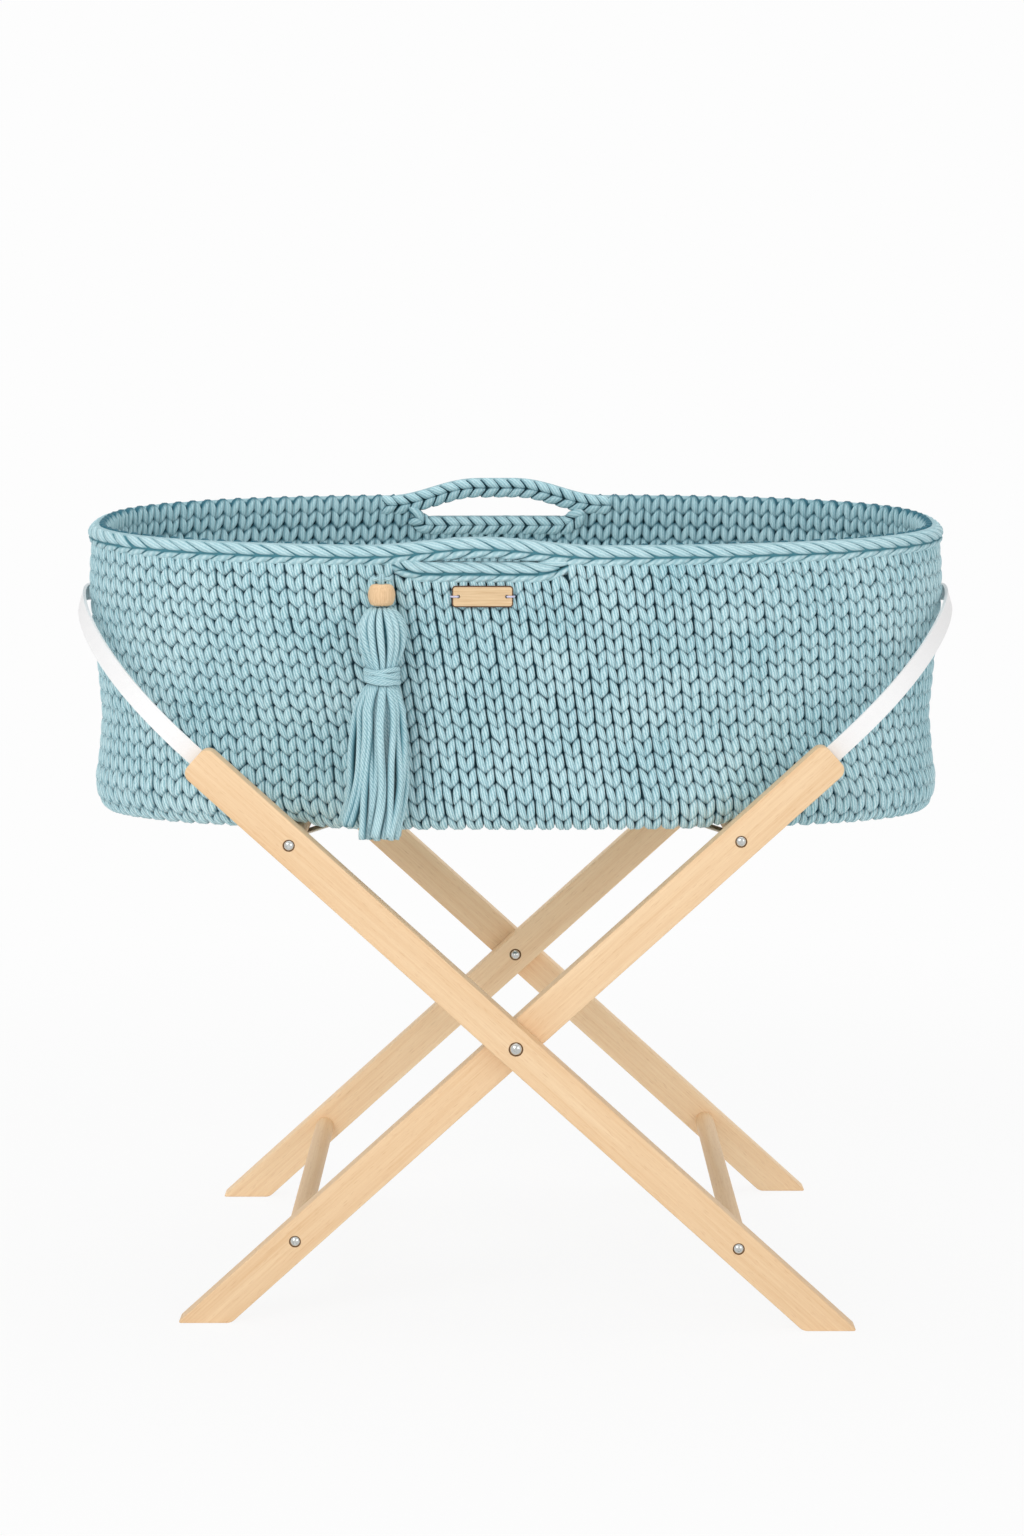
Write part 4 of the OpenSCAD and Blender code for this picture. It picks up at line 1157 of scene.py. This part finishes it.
# %% [markdown]
# ## The basket's floor
# The floor was crocheted flat, round and round from the middle, so from below it is a set of rings of
# stitches. Each ring is sewn on its own, seen from below, with as many leaves as its length holds. A
# plate painted dark as shade closes it from above: a filled circle, moved onto the basket's plan and
# extruded.

# %% Floor stitches
outer_ring, ring_count, ring_level = 0.0375, 11, 0.0048
plate_inset, plate_level, plate_thick = 0.0250, 0.0050, 0.0068


def floor_ring(inset):
    ring_turns, ring_lengths = turns_by_length(inset)
    length = ring_lengths[-1]

    def surface(u, h, out):
        turn = np.interp(np.mod(-u, length), ring_lengths, ring_turns)
        x, y = plan(turn, inset + h)
        return np.stack([x, y, basket_low + ring_level - out], -1)

    count = max(4, round(length / stitch_wide))
    places = [((i + 0.5 + side * 0.25) * length / count, 0, side * -v_tilt, 1, side * -row_slant)
              for i in range(count) for side in (-1, 1)]
    return places, surface


def plan_plate(inset, z, thick):
    bpy.ops.mesh.primitive_circle_add(vertices=120, radius=1, fill_type="NGON")
    plate = bpy.context.object
    for v in plate.data.vertices:
        x, y = plan(np.arctan2(v.co.y, v.co.x), inset)
        v.co = (x, y, z)
    edit_all(plate)
    bpy.ops.mesh.extrude_region_move(TRANSFORM_OT_translate={"value": (0, 0, thick)})
    bpy.ops.mesh.select_all(action="SELECT")
    bpy.ops.mesh.normals_make_consistent(inside=False)
    bpy.ops.object.mode_set(mode="OBJECT")
    return plate


for k in range(ring_count):
    places, surface = floor_ring(outer_ring + stitch_high * k)
    ring = sew("floor_ring_%02d" % (k + 1), plain_leaf, places, surface, stitch_cotton)
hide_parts("basket_floor")
floor_plate = plan_plate(plate_inset, basket_low + plate_level, plate_thick)
dress(floor_plate, "floor_heart", painted_shade_cotton)

# %% [markdown]
# ## The base board and the mattress
# A thin board stiffens the floor, and its CAD plate only needs its finish. The mattress on it is a foam
# pad in a white cotton cover. Cloth with inner pressure gives it its crown and its soft sides: the pad
# starts a few millimetres too small, is remeshed evenly, swells, and may move by 4 mm at most.

# %% Base board and mattress cover
wear(light_wood("poplar_plywood", "#d3b88e", "#e6d2ad", (0, 0, 0)), "base_board")
cover, tree, shader, place = new_finish("white_cotton_jersey")
# Knitted ribs 1.2 mm apart, and soft creases over 30 mm
ribs = add(tree, "TexWave", {"Vector": place.outputs["Object"]},
           {"Scale": 265.0, "Distortion": 1.5, "Detail": 2.0}, bands_direction="X")
creases = add(tree, "TexNoise", {"Vector": place.outputs["Object"]}, {"Scale": 33.0, "Detail": 2.0})
tone = add(tree, "Mix", {2: ribs.outputs["Fac"], 3: creases}, {0: 0.6}, data_type="FLOAT")
ramp = add(tree, "ValToRGB", {0: tone}, stops=((0, "#d9d6cf"), (1, "#efede8")))
relief = add(tree, "Bump", {"Height": tone}, {"Strength": 0.3, "Distance": 0.0008})
wire(tree, shader, {"Base Color": ramp, "Normal": relief}, {"Roughness": 0.9, "Sheen Weight": 0.1})
print("cover:", cover.name)

# %% Mattress
pad_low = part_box("mattress")[0].z
pad_inset, pad_lift, pad_thick, pad_round = 0.0345, 0.0030, 0.0290, 0.0090
pad = plan_plate(pad_inset, pad_low + pad_lift, pad_thick)
ease(pad, pad_round, 3, 60)
pad.data.remesh_voxel_size = 0.006
bpy.ops.object.voxel_remesh()
print("mattress before it swells:", len(pad.data.polygons), "faces")

# %% [markdown]
# Cloth runs frame by frame. Its result is read from the evaluated mesh, and each point's way is capped,
# so that the pad stays in its place between the walls.

# %% Swelling
farthest, deepest = 0.0040, 0.0026
start = np.array([v.co for v in pad.data.vertices])
cloth = pad.modifiers.new("Cloth", "CLOTH")
cloth.settings.use_pressure = True
cloth.settings.uniform_pressure_force = 4
cloth.settings.effector_weights.gravity = 0
for step in range(1, 21):
    bpy.context.scene.frame_set(step)
swollen = pad.evaluated_get(bpy.context.evaluated_depsgraph_get())
end = np.array([v.co for v in swollen.data.vertices])
pad.modifiers.remove(cloth)
bpy.context.scene.frame_set(1)
way = end - start
far = np.linalg.norm(way, axis=1, keepdims=True)
way *= np.minimum(1, farthest / np.maximum(far, 1e-9))
way[:, 2] = np.where(start[:, 2] < pad_low + 0.006, np.maximum(way[:, 2], -deepest), way[:, 2])
pad.data.vertices.foreach_set("co", (start + way).ravel())
print("mattress moved by up to", round(float(np.linalg.norm(way, axis=1).max()) * 1000, 1), "mm")
apply_modifier(pad, "SMOOTH", factor=0.5, iterations=4)
bpy.ops.object.shade_smooth()
dress(pad, "mattress_pad", cover, "basket")
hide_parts("mattress")

# %% [markdown]
# A fine piping covers the seam round the top and the bottom of the mattress. It is swept along the plan.

# %% Piping
piping_r, piping_inset = 0.0018, 0.0322
x, y = plan(np.linspace(0, 2 * pi, 181), piping_inset)
piping_paths = [np.stack([x, y, np.full(181, pad_low + rise)], 1) for rise in (0.0062, 0.0300)]
yarn("mattress_piping", piping_paths, [piping_r, piping_r], 8, cover, "basket")

# %% [markdown]
# ## The retaining straps
# Two straps of cream cotton webbing join the upper rails and stop the stand from opening too far. Each is
# 30 mm wide and is sewn into a loop round each rail. Each strap is made as two pieces, a left and a right
# half, that meet in the middle. A grid is laid along the strap's line and thickened with Solidify.

# %% Webbing finish
webbing, tree, shader, place = new_finish("cream_cotton_webbing")
# A twill of ribs 2 mm apart along the strap, crossed every 1.7 mm
ribs = add(tree, "TexWave", {"Vector": place.outputs["UV"]}, {"Scale": 4.8, "Distortion": 0.4},
           bands_direction="X")
cross = add(tree, "TexWave", {"Vector": place.outputs["UV"]}, {"Scale": 56.0, "Distortion": 0.4},
            bands_direction="Y")
weave = add(tree, "Math", {0: ribs.outputs["Fac"], 1: cross.outputs["Fac"]}, operation="MULTIPLY")
ramp = add(tree, "ValToRGB", {0: weave}, stops=((0, "#cfc8b6"), (1, "#ebe6d9")))
relief = add(tree, "Bump", {"Height": weave}, {"Strength": 0.5, "Distance": 0.0004})
wire(tree, shader, {"Base Color": ramp, "Normal": relief}, {"Roughness": 0.85})
print("webbing:", webbing.name)

# %% Straps
rail_x, rail_z = on_leg(rail_offset, True)
strap_width, strap_thick, strap_round, loop_r, strap_y = 0.030, 0.0018, 0.0004, 0.0112, 0.095
# The loop closes 30 mm from the rail's axis, and its tail is sewn under the strap
closing, tail = 0.030, 0.058
leaves_rail = acos(loop_r / closing)
turned = np.linspace(leaves_rail, 2 * pi - leaves_rail, 40)
strap_line = [(-t, 0) for t in np.linspace(0, rail_x - closing, 16)]
strap_line += [(-rail_x + loop_r * cos(a), loop_r * sin(a)) for a in turned]
strap_line += [(-rail_x + x, -strap_thick - 0.0001) for x in (closing, closing + 0.004, tail)]
strap_line = np.array(strap_line) + (0, rail_z)
strap_steps = run_along(strap_line)
strap_length = strap_steps[-1]


def strap_half(name, y, side):
    bpy.ops.mesh.primitive_grid_add(x_subdivisions=6, y_subdivisions=110, size=1)
    strap = bpy.context.object
    for v in strap.data.vertices:
        along = (v.co.y + 0.5) * strap_length
        x = np.interp(along, strap_steps, strap_line[:, 0])
        z = np.interp(along, strap_steps, strap_line[:, 1])
        v.co = (-side * x, y + side * v.co.x * strap_width, z)
    apply_modifier(strap, "SOLIDIFY", thickness=strap_thick, offset=0)
    ease(strap, strap_round, 2, 50)
    bpy.ops.object.shade_smooth_by_angle(angle=radians(40))
    strap.name = strap.data.name = name
    strap.data.materials.append(webbing)
    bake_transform(strap)
    print(name, round(strap_length, 4), "m long")
    return strap


for name, y in (("front_strap", -strap_y), ("rear_strap", strap_y)):
    left = strap_half(name + "_left", y, -1)
    strap_half(name + "_right", y, 1)
    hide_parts(name)
